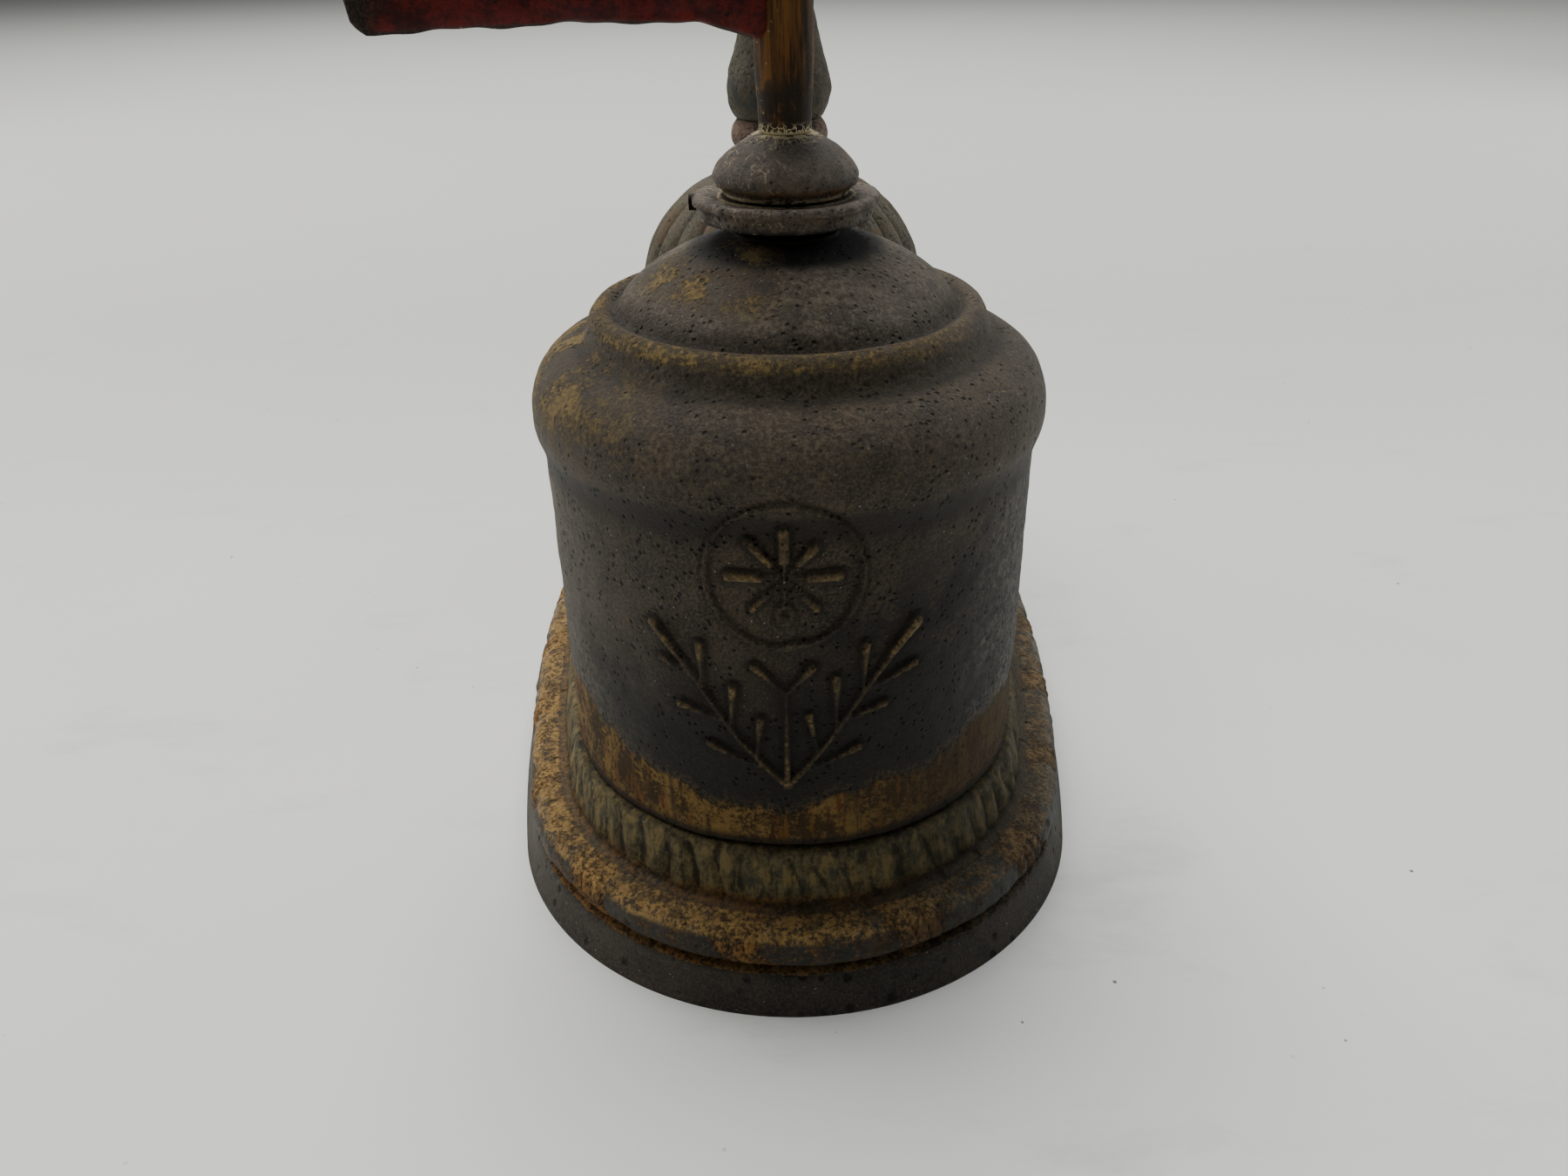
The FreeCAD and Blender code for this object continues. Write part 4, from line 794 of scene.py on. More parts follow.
def make_base():
    """Sweep the moulding, close it above and below, and cut the lobes, beads and ticks."""
    bm = bmesh.new()
    outline = base_outline()
    under = len(UNDERSIDE)
    below = smooth_outline(outline[:under], 4.0 * MM)[:-1]
    spin_round_oval(bm, below + smooth_outline(outline[under - 1:], 0.62 * MM))
    close_up(bm)
    rims = [edge for edge in bm.edges if edge.is_boundary]
    for level in (CASTING_FLOOR, LOBED_BAND[-1][1]):
        middle = bm.verts.new((0, REAR / 2, level * MM))
        fan = [edge for edge in rims if abs(edge.verts[0].co.z - level * MM) < 0.3 * MM]
        for edge in fan:
            bm.faces.new((edge.verts[0], edge.verts[1], middle))
        print("fan at", level, "closes", len(fan), "edges")
    bmesh.ops.recalc_face_normals(bm, faces=bm.faces)
    piece = add_piece("base_moulding", bm, base_finish(), "base", "base_iron", "base_casting")
    places = vertex_array(piece)
    along, inset, out, length = along_oval(places)
    z = places[:, 2] / MM
    d = inset / MM
    skin = (d < 14.0) & (z > 0.5) & (d < 4.9 + z * 1.1)
    in_torus = soft_step(z, 8.6, 9.4) * (1 - soft_step(z, 15.4, 16.2)) * (d < 11.6)
    in_lobes = soft_step(z, 16.6, 18.2) * (1 - soft_step(z, 25.6, 27.2)) * skin
    in_rim = np.exp(-((z - 7.6) / 0.6) ** 2) * (d < 4.5)
    ledge = soft_step(d, 2.9, 3.6) * (1 - soft_step(d, 7.0, 8.2)) * (z > 7.5) * (z < 9.0)
    phase = along / length
    wander = lumps(places, 22 * MM, 21) * 0.30 + lumps(places, 7 * MM, 22) * 0.16
    lobe = np.abs(np.cos(math.pi * (phase * LOBES + (z - 17.0) * 0.055 + wander)))
    depth = np.clip(0.50 + lumps(places, 12 * MM, 23) * 0.35, 0.08, 0.95)
    rope = np.mod(phase * BEADS + (z - 12.0) * 0.010 + lumps(places, 30 * MM, 24) * 0.05, 1.0)
    bead = 1 - soft_step(np.abs(rope - 0.5), 0.33, 0.37)
    bead_crest = np.clip(1 - (np.abs(rope - 0.5) / 0.37) ** 6, 0, 1)
    rib = np.abs(np.sin(math.pi * 3 * (np.mod(rope + 0.5, 1.0) - 0.37) / 0.26))
    torus_crest = np.where(bead > 0.5, bead_crest, rib ** 0.7)
    tick = np.abs(np.sin(math.pi * (phase * TICKS + lumps(places, 5 * MM, 25) * 0.4)))
    rough = lumps(places, 4 * MM, 11) * 0.13 + lumps(places, 1.6 * MM, 12) * 0.08
    rough = np.clip(rough, -0.3, 0.3)
    smooth_band = 1 - 0.75 * (z < 6.8)
    push = in_lobes * (lobe ** 0.9 - 1.0) * depth + in_torus * (torus_crest - 1.0) * 0.70
    push += in_rim * (tick - 1.0) * 0.30 + (rough * smooth_band - 0.26) * skin
    places[:, :2] += out * (push * MM)[:, None]
    places[:, 2] += ledge * (tick * 0.10 + rough - 0.25) * MM
    bands = [z < 7.7, (z < 9.0) & (d < 8.6), (d < 11.6) & (z < 16.4), z < 27.3]
    zone = np.select(bands, [0, 1, 2, 3], 4)
    torus_top = 0.45 * soft_step(z, 13.0, 16.4) * (zone == 2)
    band_foot = 0.4 * (1 - soft_step(z, 16.4, 20.0)) * (zone == 3)
    zone = zone + torus_top - band_foot
    crest = np.where(in_torus > 0.5, torus_crest, np.where(in_lobes > 0.3, lobe, 0.6))
    # painted shade along the hollow under the torus and in the groove at the lobed band's foot
    hollow = np.exp(-((z - 9.2) / 0.8) ** 2) * (d > 6.4)
    hollow += 0.7 * np.exp(-((z - 17.3) / 0.6) ** 2) * (d > 10) * (d < 12)
    store_vertices(piece, places, zone=zone, crest=crest, bead=bead, hollow=hollow)
    return piece


make_base()

# %% [markdown]
# ## The collar and the finial
# Both are rough little castings turned about the post. The collar's edge is lumpy and worn to
# lighter metal at its lip; crackled cream paint shows where the finial sits on it and round
# the foot of the handle.

# %% Collar and finial finishes
finial_low, finial_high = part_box("finial_dome")
collar_low, collar_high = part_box("collar_disc")
COLLAR_FOOT = collar_low.z / MM
COLLAR_TOP = collar_high.z / MM
FINIAL_TOP = finial_high.z / MM


def crackle(f, size, width=0.07, seed=0.0):
    """Thin broken lines between cells of a size in millimetres."""
    waver = f.node("ShaderNodeTexNoise", {}, {"Vector": f.place, "Scale": 1.3}, 1)
    bent = f.node("ShaderNodeVectorMath", {"operation": "ADD"}, {0: f.place, 1: waver})
    shifted = f.node("ShaderNodeVectorMath", {"operation": "ADD"}, {0: bent, 1: (seed, seed, seed)})
    edge = f.node("ShaderNodeTexVoronoi", {"feature": "DISTANCE_TO_EDGE"},
                  {"Vector": shifted, "Scale": 1 / size})
    return f.ease(edge, width, width * 0.4)


def collar_finish(name, joints, gold_height):
    """Dark lumpy iron with cream crackle along joints, each at a radius or a height."""
    f = Finish(name)
    flat = f.node("ShaderNodeVectorMath", {"operation": "MULTIPLY"}, {0: f.place, 1: (1, 1, 0)})
    radius = f.node("ShaderNodeVectorMath", {"operation": "LENGTH"}, {0: flat}, 1)
    where = {"radius": radius, "height": f.z}
    colour, roughness, height = iron(f, (0.014, 0.009, 0.005), (0.105, 0.078, 0.052), 1.2)
    fine = f.grain(0.7, 5.0, 0.8, seed=5.0)
    grit = f.ease(fine, 0.40, 0.62)
    lump = f.grain(3.0, 4.0, 0.7, seed=9.0)
    colour = f.mix(colour, f.mix((0.070, 0.050, 0.034), (0.185, 0.150, 0.108), grit),
                   f.ease(f.attribute("worn"), 0.2, 0.8) * f.ease(lump, 0.36, 0.56) * 0.8)
    purple = f.ease(f.grain(5.0, 3.0, seed=13.0), 0.50, 0.62)
    colour = f.mix(colour, (0.120, 0.090, 0.060), purple * 0.5)
    gold = f.ease((f.z - gold_height).size(), 0.9, 0.3) * f.ease(lump, 0.44, 0.56)
    colour = f.mix(colour, (0.110, 0.050, 0.012), gold * 0.9)
    upper_left = f.ease(f.x + f.y * 0.4, -2.0, -6.0)
    cream = crackle(f, 2.4, 0.05, 3.0) * upper_left * f.ease(lump, 0.50, 0.58) * 0.5
    for measure, joint, reach in joints:
        away = (where[measure] - joint).size()
        near = f.ease(away + (fine - 0.5) * 1.2, reach, reach * 0.4)
        near = near * f.ease(f.z, COLLAR_TOP - 2.0, COLLAR_TOP - 1.2)
        line = f.ease(away + (lump - 0.5) * 0.9, 0.42, 0.22)
        broken = f.ease(lump, 0.38, 0.48)
        cream = cream.most(near * crackle(f, 1.0, 0.09, joint).most(line) * broken)
    # painted shadow: the collar's underside and lower edge go black
    underneath = f.ease(f.z + (lump - 0.5) * 1.4, COLLAR_FOOT + 1.5, COLLAR_FOOT + 0.6)
    colour = f.mix(colour, BLACK, underneath)
    colour = f.mix(colour, CREAM, cream)
    f.bump(height * 1.2 + cream * 0.5 + lump * 0.8, 0.35, 1.0)
    return f.finish(colour, roughness, 0.0, Specular_IOR_Level=0.40)


# %% [markdown]
# ## Collar and finial shapes
# Sculpting by hand would give the same lumps once only. Spinning an outline and pushing its
# skin in by smooth seeded waves gives a rough casting that comes out alike on every run.

# %% Collar and finial shapes


def lumpy_turning(name, outline, centre, step, columns, finish, body, slot_name, nodes,
                  rough=0.12, worn=None):
    """Spin a closed outline in millimetres, then dent its outer skin like a rough casting."""
    points = smooth_outline([(r * MM, z * MM) for r, z in outline], step * MM)
    bm = bmesh.new()
    spin_outline(bm, points + [points[0]] if outline[0][0] else points, centre, columns)
    close_up(bm)
    piece = add_piece(name, bm, finish, body, slot_name, *nodes)
    places = vertex_array(piece)
    x, y = places[:, 0] - centre[0], places[:, 1] - centre[1]
    radius = np.hypot(x, y)
    outer = max(r for r, z in outline) * MM
    share = soft_step(radius, 0.35 * outer, 0.6 * outer)
    dents = lumps(places, 4.5 * MM, 31) * rough + lumps(places, 1.6 * MM, 32) * rough * 0.5
    dents = np.clip(dents, -rough * 1.6, rough * 1.6) - rough * 1.6
    scale = 1 + share * dents * MM / np.maximum(radius, 1e-6)
    moved = np.column_stack([centre[0] + x * scale, centre[1] + y * scale, places[:, 2]])
    wear = worn(radius / MM, places[:, 2] / MM) if worn else np.zeros(len(x))
    store_vertices(piece, moved, worn=wear)
    return piece


lip = COLLAR_TOP - 0.8
lumpy_turning(
    "collar_cast",
    [(8.2, COLLAR_FOOT), (8.2, COLLAR_FOOT), (11.6, COLLAR_FOOT), (11.6, COLLAR_FOOT),
     (12.2, COLLAR_FOOT + 0.3), (14.6, COLLAR_FOOT + 0.5), (15.2, COLLAR_FOOT + 1.0),
     (15.5, lip - 1.2), (16.2, lip - 0.5), (16.35, lip), (16.1, lip + 0.5), (15.4, COLLAR_TOP),
     (14.2, COLLAR_TOP - 0.15), (12.0, COLLAR_TOP - 0.35), (5.65, COLLAR_TOP - 0.1),
     (5.65, COLLAR_TOP - 0.1), (5.65, COLLAR_FOOT + 2.6), (5.65, COLLAR_FOOT + 2.6),
     (8.2, COLLAR_FOOT + 2.6), (8.2, COLLAR_FOOT + 2.6)],
    (0, 0), 0.35, 220, collar_finish("collar_iron", [("radius", 11.4, 0.8)], 0.0), "axe_post",
    "collar_iron", ["collar_disc"], rough=0.26,
    worn=lambda r, z: np.exp(-((r - 15.6) / 1.2) ** 2) * (z > lip - 0.6))

HUB = finial_low.z / MM
FINIAL_JOINTS = [("height", COLLAR_TOP + 0.3, 0.8), ("height", FINIAL_TOP, 1.3)]
lumpy_turning(
    "finial_cast",
    [(3.25, HUB), (3.25, HUB), (5.6, HUB), (5.6, HUB), (5.6, COLLAR_TOP), (5.6, COLLAR_TOP),
     (10.8, COLLAR_TOP), (10.8, COLLAR_TOP), (11.0, COLLAR_TOP + 0.5), (11.3, COLLAR_TOP + 1.1),
     (12.1, COLLAR_TOP + 1.7), (12.5, COLLAR_TOP + 2.5), (12.4, COLLAR_TOP + 3.5),
     (11.5, COLLAR_TOP + 5.0), (9.9, COLLAR_TOP + 6.6), (7.8, COLLAR_TOP + 8.1),
     (5.8, COLLAR_TOP + 9.2), (4.7, FINIAL_TOP), (2.85, FINIAL_TOP), (2.85, FINIAL_TOP),
     (2.85, FINIAL_TOP - 3.2), (2.85, FINIAL_TOP - 3.2), (3.25, FINIAL_TOP - 3.5),
     (3.25, FINIAL_TOP - 3.5)],
    (0, 0), 0.35, 200, collar_finish("finial_iron", FINIAL_JOINTS, COLLAR_TOP + 1.6), "axe_post",
    "collar_iron", ["finial_dome"], rough=0.13,
    worn=lambda r, z: np.exp(-((z - COLLAR_TOP - 5.0) / 1.8) ** 2))

# %% [markdown]
# ## The handle
# The handle is a turned wooden stick. Its yellow-brown paint has darkened in streaks along the
# grain, and handling has left a black patch near the foot.

# %% Handle
handle_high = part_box("axe_handle")[1]
HANDLE_TOP = handle_high.z / MM


def handle_finish():
    """Ochre-brown painted wood with grain along the stick."""
    f = Finish("handle_wood")
    grain = f.grain(1.1, 6.0, 0.65, (1, 1, 0.07), 3.0)
    streak = f.grain(2.6, 4.0, 0.6, (1, 1, 0.10), 8.0)
    fine = f.grain(0.6, 4.0, 0.75, seed=12.0)
    colour = f.mix((0.012, 0.005, 0.0015), (0.150, 0.062, 0.010),
                   f.ease(grain * 0.6 + streak * 0.5, 0.46, 0.68))
    colour = f.mix(colour, (0.200, 0.095, 0.018), f.ease(streak, 0.60, 0.68) * 0.55)
    # painted sheen: the stick turns greyer towards its sides
    side = f.ease(f.x.size(), 2.8, 4.6)
    colour = f.mix(colour, (0.100, 0.080, 0.055), side * f.ease(fine, 0.48, 0.60) * 0.5)
    handled = f.ease(f.grain(3.5, 3.0, seed=17.0), 0.36, 0.50)
    foot = f.ease(f.z, FINIAL_TOP + 12.0, FINIAL_TOP + 6.0) * handled
    colour = f.mix(colour, (0.010, 0.006, 0.003), foot * 0.9)
    chips = crackle(f, 1.2, 0.10, 2.0) * f.ease(f.z, FINIAL_TOP + 2.2, FINIAL_TOP + 0.6)
    rim_line = f.ease(f.z + (fine - 0.5) * 2.0, FINIAL_TOP + 0.7, FINIAL_TOP + 0.3)
    colour = f.mix(colour, CREAM, chips.most(rim_line))
    flecks = f.ease(f.cells(1.6, 4.0), 0.15, 0.08) * f.ease(f.x, 0.0, -4.0)
    colour = f.mix(colour, (0.34, 0.26, 0.13), flecks * 0.7)
    f.bump(grain * 1.0 + fine * 0.3, 0.25, 0.9)
    return f.finish(colour, 0.50 + fine * 0.25, 0.0, Specular_IOR_Level=0.18)


lumpy_turning(
    "handle_turned",
    [(0, FINIAL_TOP - 3.0), (0, FINIAL_TOP - 3.0), (2.8, FINIAL_TOP - 3.0),
     (2.8, FINIAL_TOP - 3.0), (2.8, FINIAL_TOP), (2.8, FINIAL_TOP), (4.35, FINIAL_TOP),
     (4.4, FINIAL_TOP + 0.4), (4.55, FINIAL_TOP + 4.0), (4.85, FINIAL_TOP + 9.0),
     (4.85, FINIAL_TOP + 20.0), (4.85, HANDLE_TOP - 2.2), (4.6, HANDLE_TOP - 0.9),
     (3.8, HANDLE_TOP - 0.2), (2.6, HANDLE_TOP), (0, HANDLE_TOP), (0, HANDLE_TOP)],
    (0, 0), 0.5, 96, handle_finish(), "axe_post", "handle_wood", ["axe_handle"], rough=0.035)

# %% [markdown]
# ## The axe head
# The head is a flat casting: a broad blade, an eye round the handle and a short pick behind.
# A grid is bent to the side view and given the plan's thickness, which falls to nothing at the
# rim, then its mirror closes it. The eye is a turned sleeve.

# %% Axe head outline
head_low, head_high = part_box("axe_head")
BLADE_TIP = head_low.x / MM
PICK_TIP = head_high.x / MM
# across, lower edge and upper edge above the handle's foot, and half thickness, in millimetres
HEAD_STATIONS = [(BLADE_TIP + 0.02, 20.0, 40.0, 0.5), (BLADE_TIP + 0.6, 16.5, 45.4, 0.8),
                 (BLADE_TIP + 2.6, 15.2, 46.9, 1.0), (BLADE_TIP + 8.0, 15.4, 46.2, 1.25),
                 (-50.0, 15.8, 44.0, 1.7), (-36.0, 16.3, 40.4, 2.5), (-24.0, 16.4, 37.8, 3.3),
                 (-13.5, 16.0, 36.2, 4.1), (-9.0, 15.1, 35.7, 4.4), (-5.0, 13.9, 35.5, 4.5),
                 (-2.0, 12.9, 35.5, 4.5)]
PICK_STATIONS = [(0.0, 21.6, 35.4, 4.4), (6.0, 21.6, 35.4, 4.2), (9.0, 21.8, 34.7, 3.6),
                 (20.0, 22.8, 30.2, 2.4), (30.0, 23.7, 26.8, 1.4),
                 (PICK_TIP - 0.9, 24.1, 25.4, 0.9), (PICK_TIP, 24.3, 25.0, 0.4)]


def axe_finish():
    """Old dark red enamel with bare dark edges and cream specks."""
    f = Finish("red_paint")
    fine = f.grain(0.8, 5.0, 0.78, seed=6.0)
    lump = f.grain(4.0, 4.0, 0.7, seed=16.0)
    red = f.mix((0.026, 0.002, 0.0015), (0.095, 0.006, 0.004),
                f.ease(lump + (fine - 0.5) * 0.6, 0.36, 0.62))
    rim = f.ease(f.attribute("rim") + (fine - 0.5) * 0.35, 0.30, 0.62)
    bare = f.mix((0.012, 0.009, 0.007), (0.040, 0.026, 0.018), f.ease(fine, 0.45, 0.60))
    tip = f.ease(f.x + lump * 6.0, BLADE_TIP + 10.0, BLADE_TIP + 5.0)
    chip = f.ease(f.grain(5.5, 5.0, 0.7, seed=26.0), 0.63, 0.66)
    worn = rim.most(tip).most(chip)
    colour = f.mix(red, bare, worn)
    speck = f.ease(f.cells(2.2, 9.0), 0.13, 0.07) * f.ease(f.attribute("rim"), 0.25, 0.5)
    colour = f.mix(colour, (0.36, 0.27, 0.14), speck * 0.8)
    roughness = 0.34 + fine * 0.2 + worn * 0.22
    f.bump(lump * 0.8 + fine * 0.4 - worn * 0.5, 0.30, 0.9)
    return f.finish(colour, roughness + 0.1, 0.0, Specular_IOR_Level=0.16)


def bent_plate(bm, stations, columns, rows, wobble):
    """Bend a grid to the stations' side view, thin it at its rim and mirror it shut."""
    grid = bmesh.ops.create_grid(bm, x_segments=columns, y_segments=rows, size=1.0)
    table = np.array(stations)
    reach = np.concatenate([[0], np.cumsum(np.hypot(np.diff(table[:, 0]), np.diff(table[:, 3]) * 2))])
    for vert in grid["verts"]:
        share = (vert.co.x + 1) / 2 * reach[-1]
        across, low, high, half = (np.interp(share, reach, table[:, column]) for column in range(4))
        rise = 0.5 - 0.5 * math.cos(math.pi * (vert.co.y + 1) / 2)
        sag = math.sin(across * 0.33) * 0.22 + math.sin(across * 0.9 + 1.0) * 0.10
        body = (1 - abs(2 * rise - 1) ** 7) ** 0.5
        end = min(1.0, (share - 0.0) / 0.8, (reach[-1] - share) / 0.8) ** 0.5
        z = low + (high - low) * rise + (sag + 0.32) * (1 - rise) * wobble
        vert.co = (across * MM, half * body * end * MM, (FINIAL_TOP + z) * MM)
    bmesh.ops.mirror(bm, geom=bm.verts[:] + bm.edges[:] + bm.faces[:], axis="Y", merge_dist=1e-6)


def make_axe_head():
    """Blade, pick and eye in one piece."""
    bm = bmesh.new()
    bent_plate(bm, HEAD_STATIONS, 90, 40, 1.0)
    close_up(bm)
    pick = bmesh.new()
    bent_plate(pick, PICK_STATIONS, 50, 22, 0.0)
    close_up(pick)
    spare = bpy.data.meshes.new("pick")
    pick.to_mesh(spare)
    pick.free()
    bm.from_mesh(spare)
    bpy.data.meshes.remove(spare)
    eye_outline = [(4.92, 21.5), (4.92, 21.5), (6.1, 21.5), (6.5, 21.8), (6.5, 28.0), (6.5, 35.2),
                   (6.1, 35.5), (4.92, 35.5), (4.92, 35.5)]
    ring_points = smooth_outline([(r * MM, (z + FINIAL_TOP) * MM) for r, z in eye_outline], 0.7 * MM)
    spin_outline(bm, ring_points + [ring_points[0]], (0, 0), 72)
    close_up(bm)
    piece = add_piece("axe_cast", bm, axe_finish(), "axe_post", "red_paint", "axe_head")
    places = vertex_array(piece)
    dents = lumps(places, 7 * MM, 41) * 0.07 + lumps(places, 2.4 * MM, 42) * 0.03
    blade = (np.abs(places[:, 0]) > 8 * MM)
    places[:, 1] *= 1 - np.clip(0.06 - dents, 0, 0.2) * blade
    x, z = places[:, 0] / MM, places[:, 2] / MM - FINIAL_TOP
    stations = np.array(HEAD_STATIONS)
    low = np.interp(x, stations[:, 0], stations[:, 1])
    high = np.interp(x, stations[:, 0], stations[:, 2])
    rim = np.exp(-np.clip(np.minimum(z - low, high - z), 0, 50) / 0.9) * (x < -5)
    store_vertices(piece, places, rim=rim)
    return piece


make_axe_head()

# %% [markdown]
# ## The striker's housing
# A domed casting, ribbed like a melon, covers the striker. The skin is spun and fluted, then
# the lever's slot and the rod's hole are cut and the skin is given its wall.

# %% Housing finish
HOUSE_FOOT = house_low.z / MM
HOUSE_TOP = house_high.z / MM
HOUSE_RADIUS = 39.5
FLUTES = 26
HOUSING_TINTS = [(0.050, 0.042, 0.024), (0.115, 0.098, 0.062), (0.095, 0.060, 0.028)]
# the lever's slot, in millimetres from the housing's axis, and the height its cuts start from
SLOT_X = (-4.5, 4.5)
SLOT_Y = (-5.5, 11.0)
CROWN_FOOT = HOUSE_TOP - 12


def housing_finish(name, tints):
    """Worn olive paint over iron, with painted shade between the ribs and at joints."""
    f = Finish(name)
    colour, roughness, height = iron(f, (0.014, 0.011, 0.006), (0.050, 0.042, 0.026), 2.0)
    fine = f.grain(0.8, 5.0, 0.8, seed=4.0)
    lump = f.grain(5.0, 5.0, 0.7, seed=14.0)
    paint = f.mix(tints[0], tints[1], f.ease(fine, 0.36, 0.64))
    colour = f.mix(colour, paint, f.ease(lump + (fine - 0.5) * 0.7, 0.36, 0.48))
    colour = f.mix(colour, tints[2], f.ease(f.grain(8.0, 4.0, seed=24.0), 0.56, 0.64) * 0.8)
    # painted shade where the worn value is low: between the housing's ribs and at the joint of grip and
    # ferrule
    colour = f.mix(colour, (0.016, 0.011, 0.006), f.ease(f.attribute("worn"), 0.45, 0.05) * 0.7)
    f.bump(height + lump * 0.8, 0.35, 0.9)
    return f.finish(colour, (roughness + 0.12).least(0.9), 0.0, Specular_IOR_Level=0.32)


# %% [markdown]
# ## Housing shape
# The flutes could be a carved pattern in the bump, but their outline shows, so the columns
# themselves are drawn in. Cutting the openings before thickening gives them clean walls.

# %% Housing shape


def make_housing():
    """Spin the skin, cut its openings, thicken it, and add the boss round the rod."""
    dome = [(HOUSE_RADIUS * math.cos(a) ** 0.86, HOUSE_FOOT + 57.0 + 31.6 * math.sin(a))
            for a in np.linspace(0, math.pi / 2 * 0.985, 14)]
    outline = [(42.9, HOUSE_FOOT + 0.02), (42.9, HOUSE_FOOT + 0.02), (42.9, HOUSE_FOOT + 2.6),
               (42.2, HOUSE_FOOT + 3.2), (40.4, HOUSE_FOOT + 3.8), (39.3, HOUSE_FOOT + 5.2),
               (39.4, HOUSE_FOOT + 20.0)] + dome
    outline = [(r * MM, z * MM) for r, z in outline] + [(0, (HOUSE_TOP - 0.15) * MM)]
    bm = bmesh.new()
    points = smooth_outline(outline, 1.1 * MM)
    spin_outline(bm, points, (0, REAR), 312)
    close_up(bm)
    for vert in bm.verts:
        x, y = vert.co.x, vert.co.y - REAR
        around = math.atan2(y, x)
        z = vert.co.z / MM - HOUSE_FOOT
        fade = soft_step(np.array(z), 4.0, 12.0) * (1 - 0.75 * soft_step(np.array(z), 78.0, 88.0))
        rib = abs(math.cos(around * FLUTES / 2))
        shrink = 1 - float(fade) * (0.018 + 0.040 * (1 - rib ** 0.75))
        vert.co.x, vert.co.y = x * shrink, REAR + y * shrink
    for limit in SLOT_X + SLOT_Y:
        faces = [face for face in bm.faces if face.calc_center_median().z > CROWN_FOOT * MM]
        edges = [edge for face in faces for edge in face.edges]
        verts = [vert for face in faces for vert in face.verts]
        across = limit in SLOT_X
        normal = Vector((1, 0, 0)) if across else Vector((0, 1, 0))
        bmesh.ops.bisect_plane(bm, geom=list(dict.fromkeys(faces + edges + verts)), dist=1e-6,
                               plane_co=Vector((0, REAR, 0)) + normal * limit * MM, plane_no=normal)
    rod_low, rod_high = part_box("striker_rod")
    rod_axis = (rod_low.z + rod_high.z) / 2
    doomed = []
    for face in bm.faces:
        c = face.calc_center_median()
        in_slot = (SLOT_X[0] < c.x / MM < SLOT_X[1] and SLOT_Y[0] < (c.y - REAR) / MM < SLOT_Y[1]
                   and c.z > CROWN_FOOT * MM)
        at_rod = c.y < REAR - 30 * MM and math.hypot(c.x, c.z - rod_axis) < 6.2 * MM
        if in_slot or at_rod:
            doomed.append(face)
    bmesh.ops.delete(bm, geom=doomed, context="FACES")
    bmesh.ops.recalc_face_normals(bm, faces=bm.faces)
    bmesh.ops.solidify(bm, geom=bm.faces[:], thickness=2.6 * MM)
    bmesh.ops.recalc_face_normals(bm, faces=bm.faces)
    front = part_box("front_rod_bush")[0].y / MM + 2.0
    boss = [(5.1, front + 4.4), (5.1, front + 4.4), (5.1, front), (5.1, front), (8.0, front),
            (8.4, front + 0.5), (8.9, front + 2.0), (10.2, front + 4.4), (10.2, front + 4.4)]
    turned_points = smooth_outline([(r * MM, y * MM) for r, y in boss], 0.6 * MM)
    ring_verts = [bm.verts.new((r, y, rod_axis)) for r, y in turned_points]
    ring_edges = [bm.edges.new(pair) for pair in zip(ring_verts, ring_verts[1:] + ring_verts[:1])]
    bmesh.ops.spin(bm, geom=ring_verts + ring_edges, cent=(0, 0, rod_axis), axis=(0, 1, 0),
                   angle=2 * math.pi, steps=64, use_merge=True)
    bmesh.ops.remove_doubles(bm, verts=bm.verts, dist=1e-6)
    bmesh.ops.recalc_face_normals(bm, faces=bm.faces)
    finish = housing_finish("housing_iron", HOUSING_TINTS)
    piece = add_piece("housing_cast", bm, finish, "base", "housing_iron", "striker_housing")
    places = vertex_array(piece)
    dents = lumps(places, 6 * MM, 51) * 0.10 + lumps(places, 2.2 * MM, 52) * 0.05
    x, y = places[:, 0], places[:, 1] - REAR
    around = np.arctan2(y, x)
    away = np.maximum(np.hypot(x, y), 1e-6)
    shrink = 1 + np.clip(dents - 0.2, -0.4, 0) * MM / away * (away > 20 * MM)
    moved = np.column_stack([x * shrink, REAR + y * shrink, places[:, 2]])
    # worn is high on the rib crests and low in the troughs, where the finish paints shade
    store_vertices(piece, moved, worn=np.abs(np.cos(around * FLUTES / 2)) ** 0.75)
    return piece


make_housing()

# %% [markdown]
# ## The grip
# The lever ends in a bulbous painted grip over a paler ferrule, both turned.

# %% Grip and ferrule
grip_low, grip_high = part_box("lever_grip")
ferrule_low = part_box("grip_ferrule")[0]
GRIP_FOOT = grip_low.z / MM
GRIP_TOP = grip_high.z / MM
FERRULE_FOOT = ferrule_low.z / MM
OLIVE_TINTS = [(0.040, 0.034, 0.020), (0.092, 0.078, 0.050), (0.030, 0.034, 0.028)]
BUFF_TINTS = [(0.105, 0.060, 0.040), (0.215, 0.140, 0.098), (0.022, 0.034, 0.036)]
# the grip's and ferrule's worn values fall to 0 where the two meet, and there the finish paints shade
lumpy_turning(
    "grip_turned",
    [(2.45, GRIP_FOOT), (2.45, GRIP_FOOT), (11.7, GRIP_FOOT), (12.0, GRIP_FOOT + 0.4),
     (13.2, GRIP_FOOT + 3.0), (13.95, GRIP_FOOT + 6.8), (13.5, GRIP_FOOT + 10.0),
     (12.3, GRIP_FOOT + 14.5), (11.0, GRIP_FOOT + 19.0), (9.9, GRIP_FOOT + 23.5),
     (8.6, GRIP_FOOT + 27.0), (6.4, GRIP_FOOT + 29.3), (3.6, GRIP_TOP), (2.45, GRIP_TOP - 0.1),
     (2.45, GRIP_TOP - 0.1)],
    (0, REAR), 0.8, 96, housing_finish("grip_paint", OLIVE_TINTS), "lever", "grip_paint",
    ["lever_grip"], rough=0.16,
    worn=lambda r, z: np.clip((z - GRIP_FOOT) / 1.5, 0, 1))
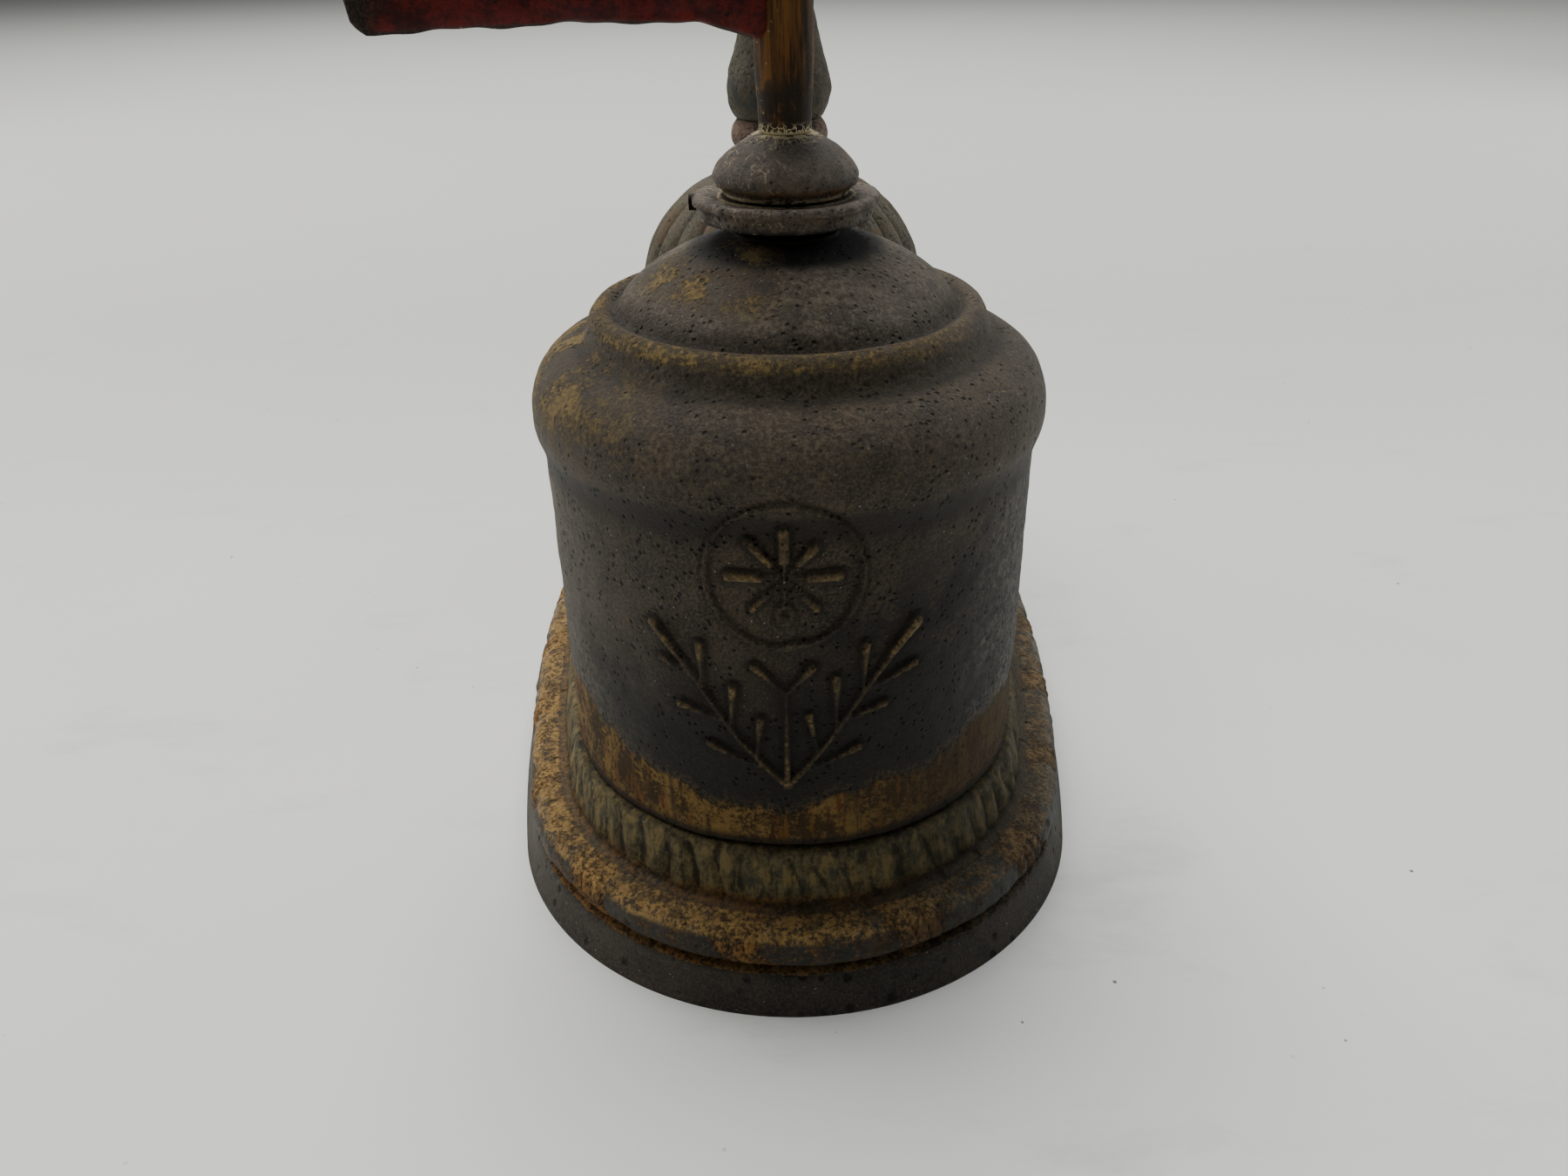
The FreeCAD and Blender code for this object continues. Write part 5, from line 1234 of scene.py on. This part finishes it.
lumpy_turning(
    "ferrule_turned",
    [(2.45, FERRULE_FOOT), (2.45, FERRULE_FOOT), (8.4, FERRULE_FOOT), (9.6, FERRULE_FOOT + 0.2),
     (12.3, FERRULE_FOOT + 2.0), (13.15, FERRULE_FOOT + 4.4), (12.7, FERRULE_FOOT + 6.6),
     (11.4, GRIP_FOOT - 0.3), (11.2, GRIP_FOOT), (2.45, GRIP_FOOT), (2.45, GRIP_FOOT)],
    (0, REAR), 0.6, 96, housing_finish("ferrule_copper", BUFF_TINTS), "lever", "ferrule_copper",
    ["grip_ferrule"], rough=0.12, worn=lambda r, z: np.clip((GRIP_FOOT - z) / 1.2, 0, 1))

# %% [markdown]
# ## Steel, brass and leather
# The screws, pins, washers and the striker keep the frame's shapes and take procedural metal:
# turning marks and tarnish in the colour and the roughness, and a fine bump. The washers, nut
# and screw under the collar take near-black steel as painted shadow.

# %% Small finishes


def metal(name, clean, tarnish, rough, axis_stretch=(1, 1, 6)):
    """Machined metal with tarnish in its scratches."""
    f = Finish(name)
    scratch = f.grain(0.5, 4.0, 0.7, axis_stretch, 2.0)
    cloud = f.grain(3.5, 5.0, 0.7, seed=5.0)
    dirt = f.ease(cloud + (scratch - 0.5) * 0.5, 0.44, 0.66)
    colour = f.mix(f.mix(clean, tuple(0.7 * c for c in clean), scratch), tarnish, dirt)
    f.bump(scratch * 0.5 + cloud * 0.4, 0.12, 0.8)
    return f.finish(colour, rough + dirt * 0.3 + scratch * 0.1, 1.0 - dirt * 0.5)


def leather():
    """Oiled brown leather with a pebbled grain."""
    f = Finish("leather")
    pebble = f.cells(0.7, 3.0)
    colour = f.mix((0.030, 0.016, 0.008), (0.085, 0.048, 0.024), f.ease(pebble, 0.1, 0.6))
    f.bump(pebble, 0.10, 0.8)
    return f.finish(colour, 0.62 + pebble * 0.2)


FINISHES = {
    "bright_steel": metal("bright_steel", (0.46, 0.45, 0.43), (0.16, 0.12, 0.08), 0.28),
    "dull_steel": metal("dull_steel", (0.10, 0.088, 0.072), (0.030, 0.020, 0.011), 0.45),
    "brass": metal("brass", (0.52, 0.37, 0.16), (0.16, 0.105, 0.045), 0.30, (1, 6, 1)),
    "leather": leather(),
}
# painted shadow: the washers, nut and screw under the collar take near-black steel
SHADE_DARK_STEEL = metal("shade_dark_steel", (0.022, 0.018, 0.013), (0.010, 0.008, 0.005), 0.55)
UNDER_COLLAR = ["thrust_washer", "bell_clamp_nut", "outer_crown_washer", "collar_set_screw"]
for part in frame["record"]["subparts"]:
    finish = SHADE_DARK_STEEL if part["node"] in UNDER_COLLAR else FINISHES.get(part["material_slot"])
    node = frame["nodes"][part["node"]]
    if finish:
        for material_slot in node.material_slots:
            material_slot.material = finish
        print(part["node"], "takes", finish.name)
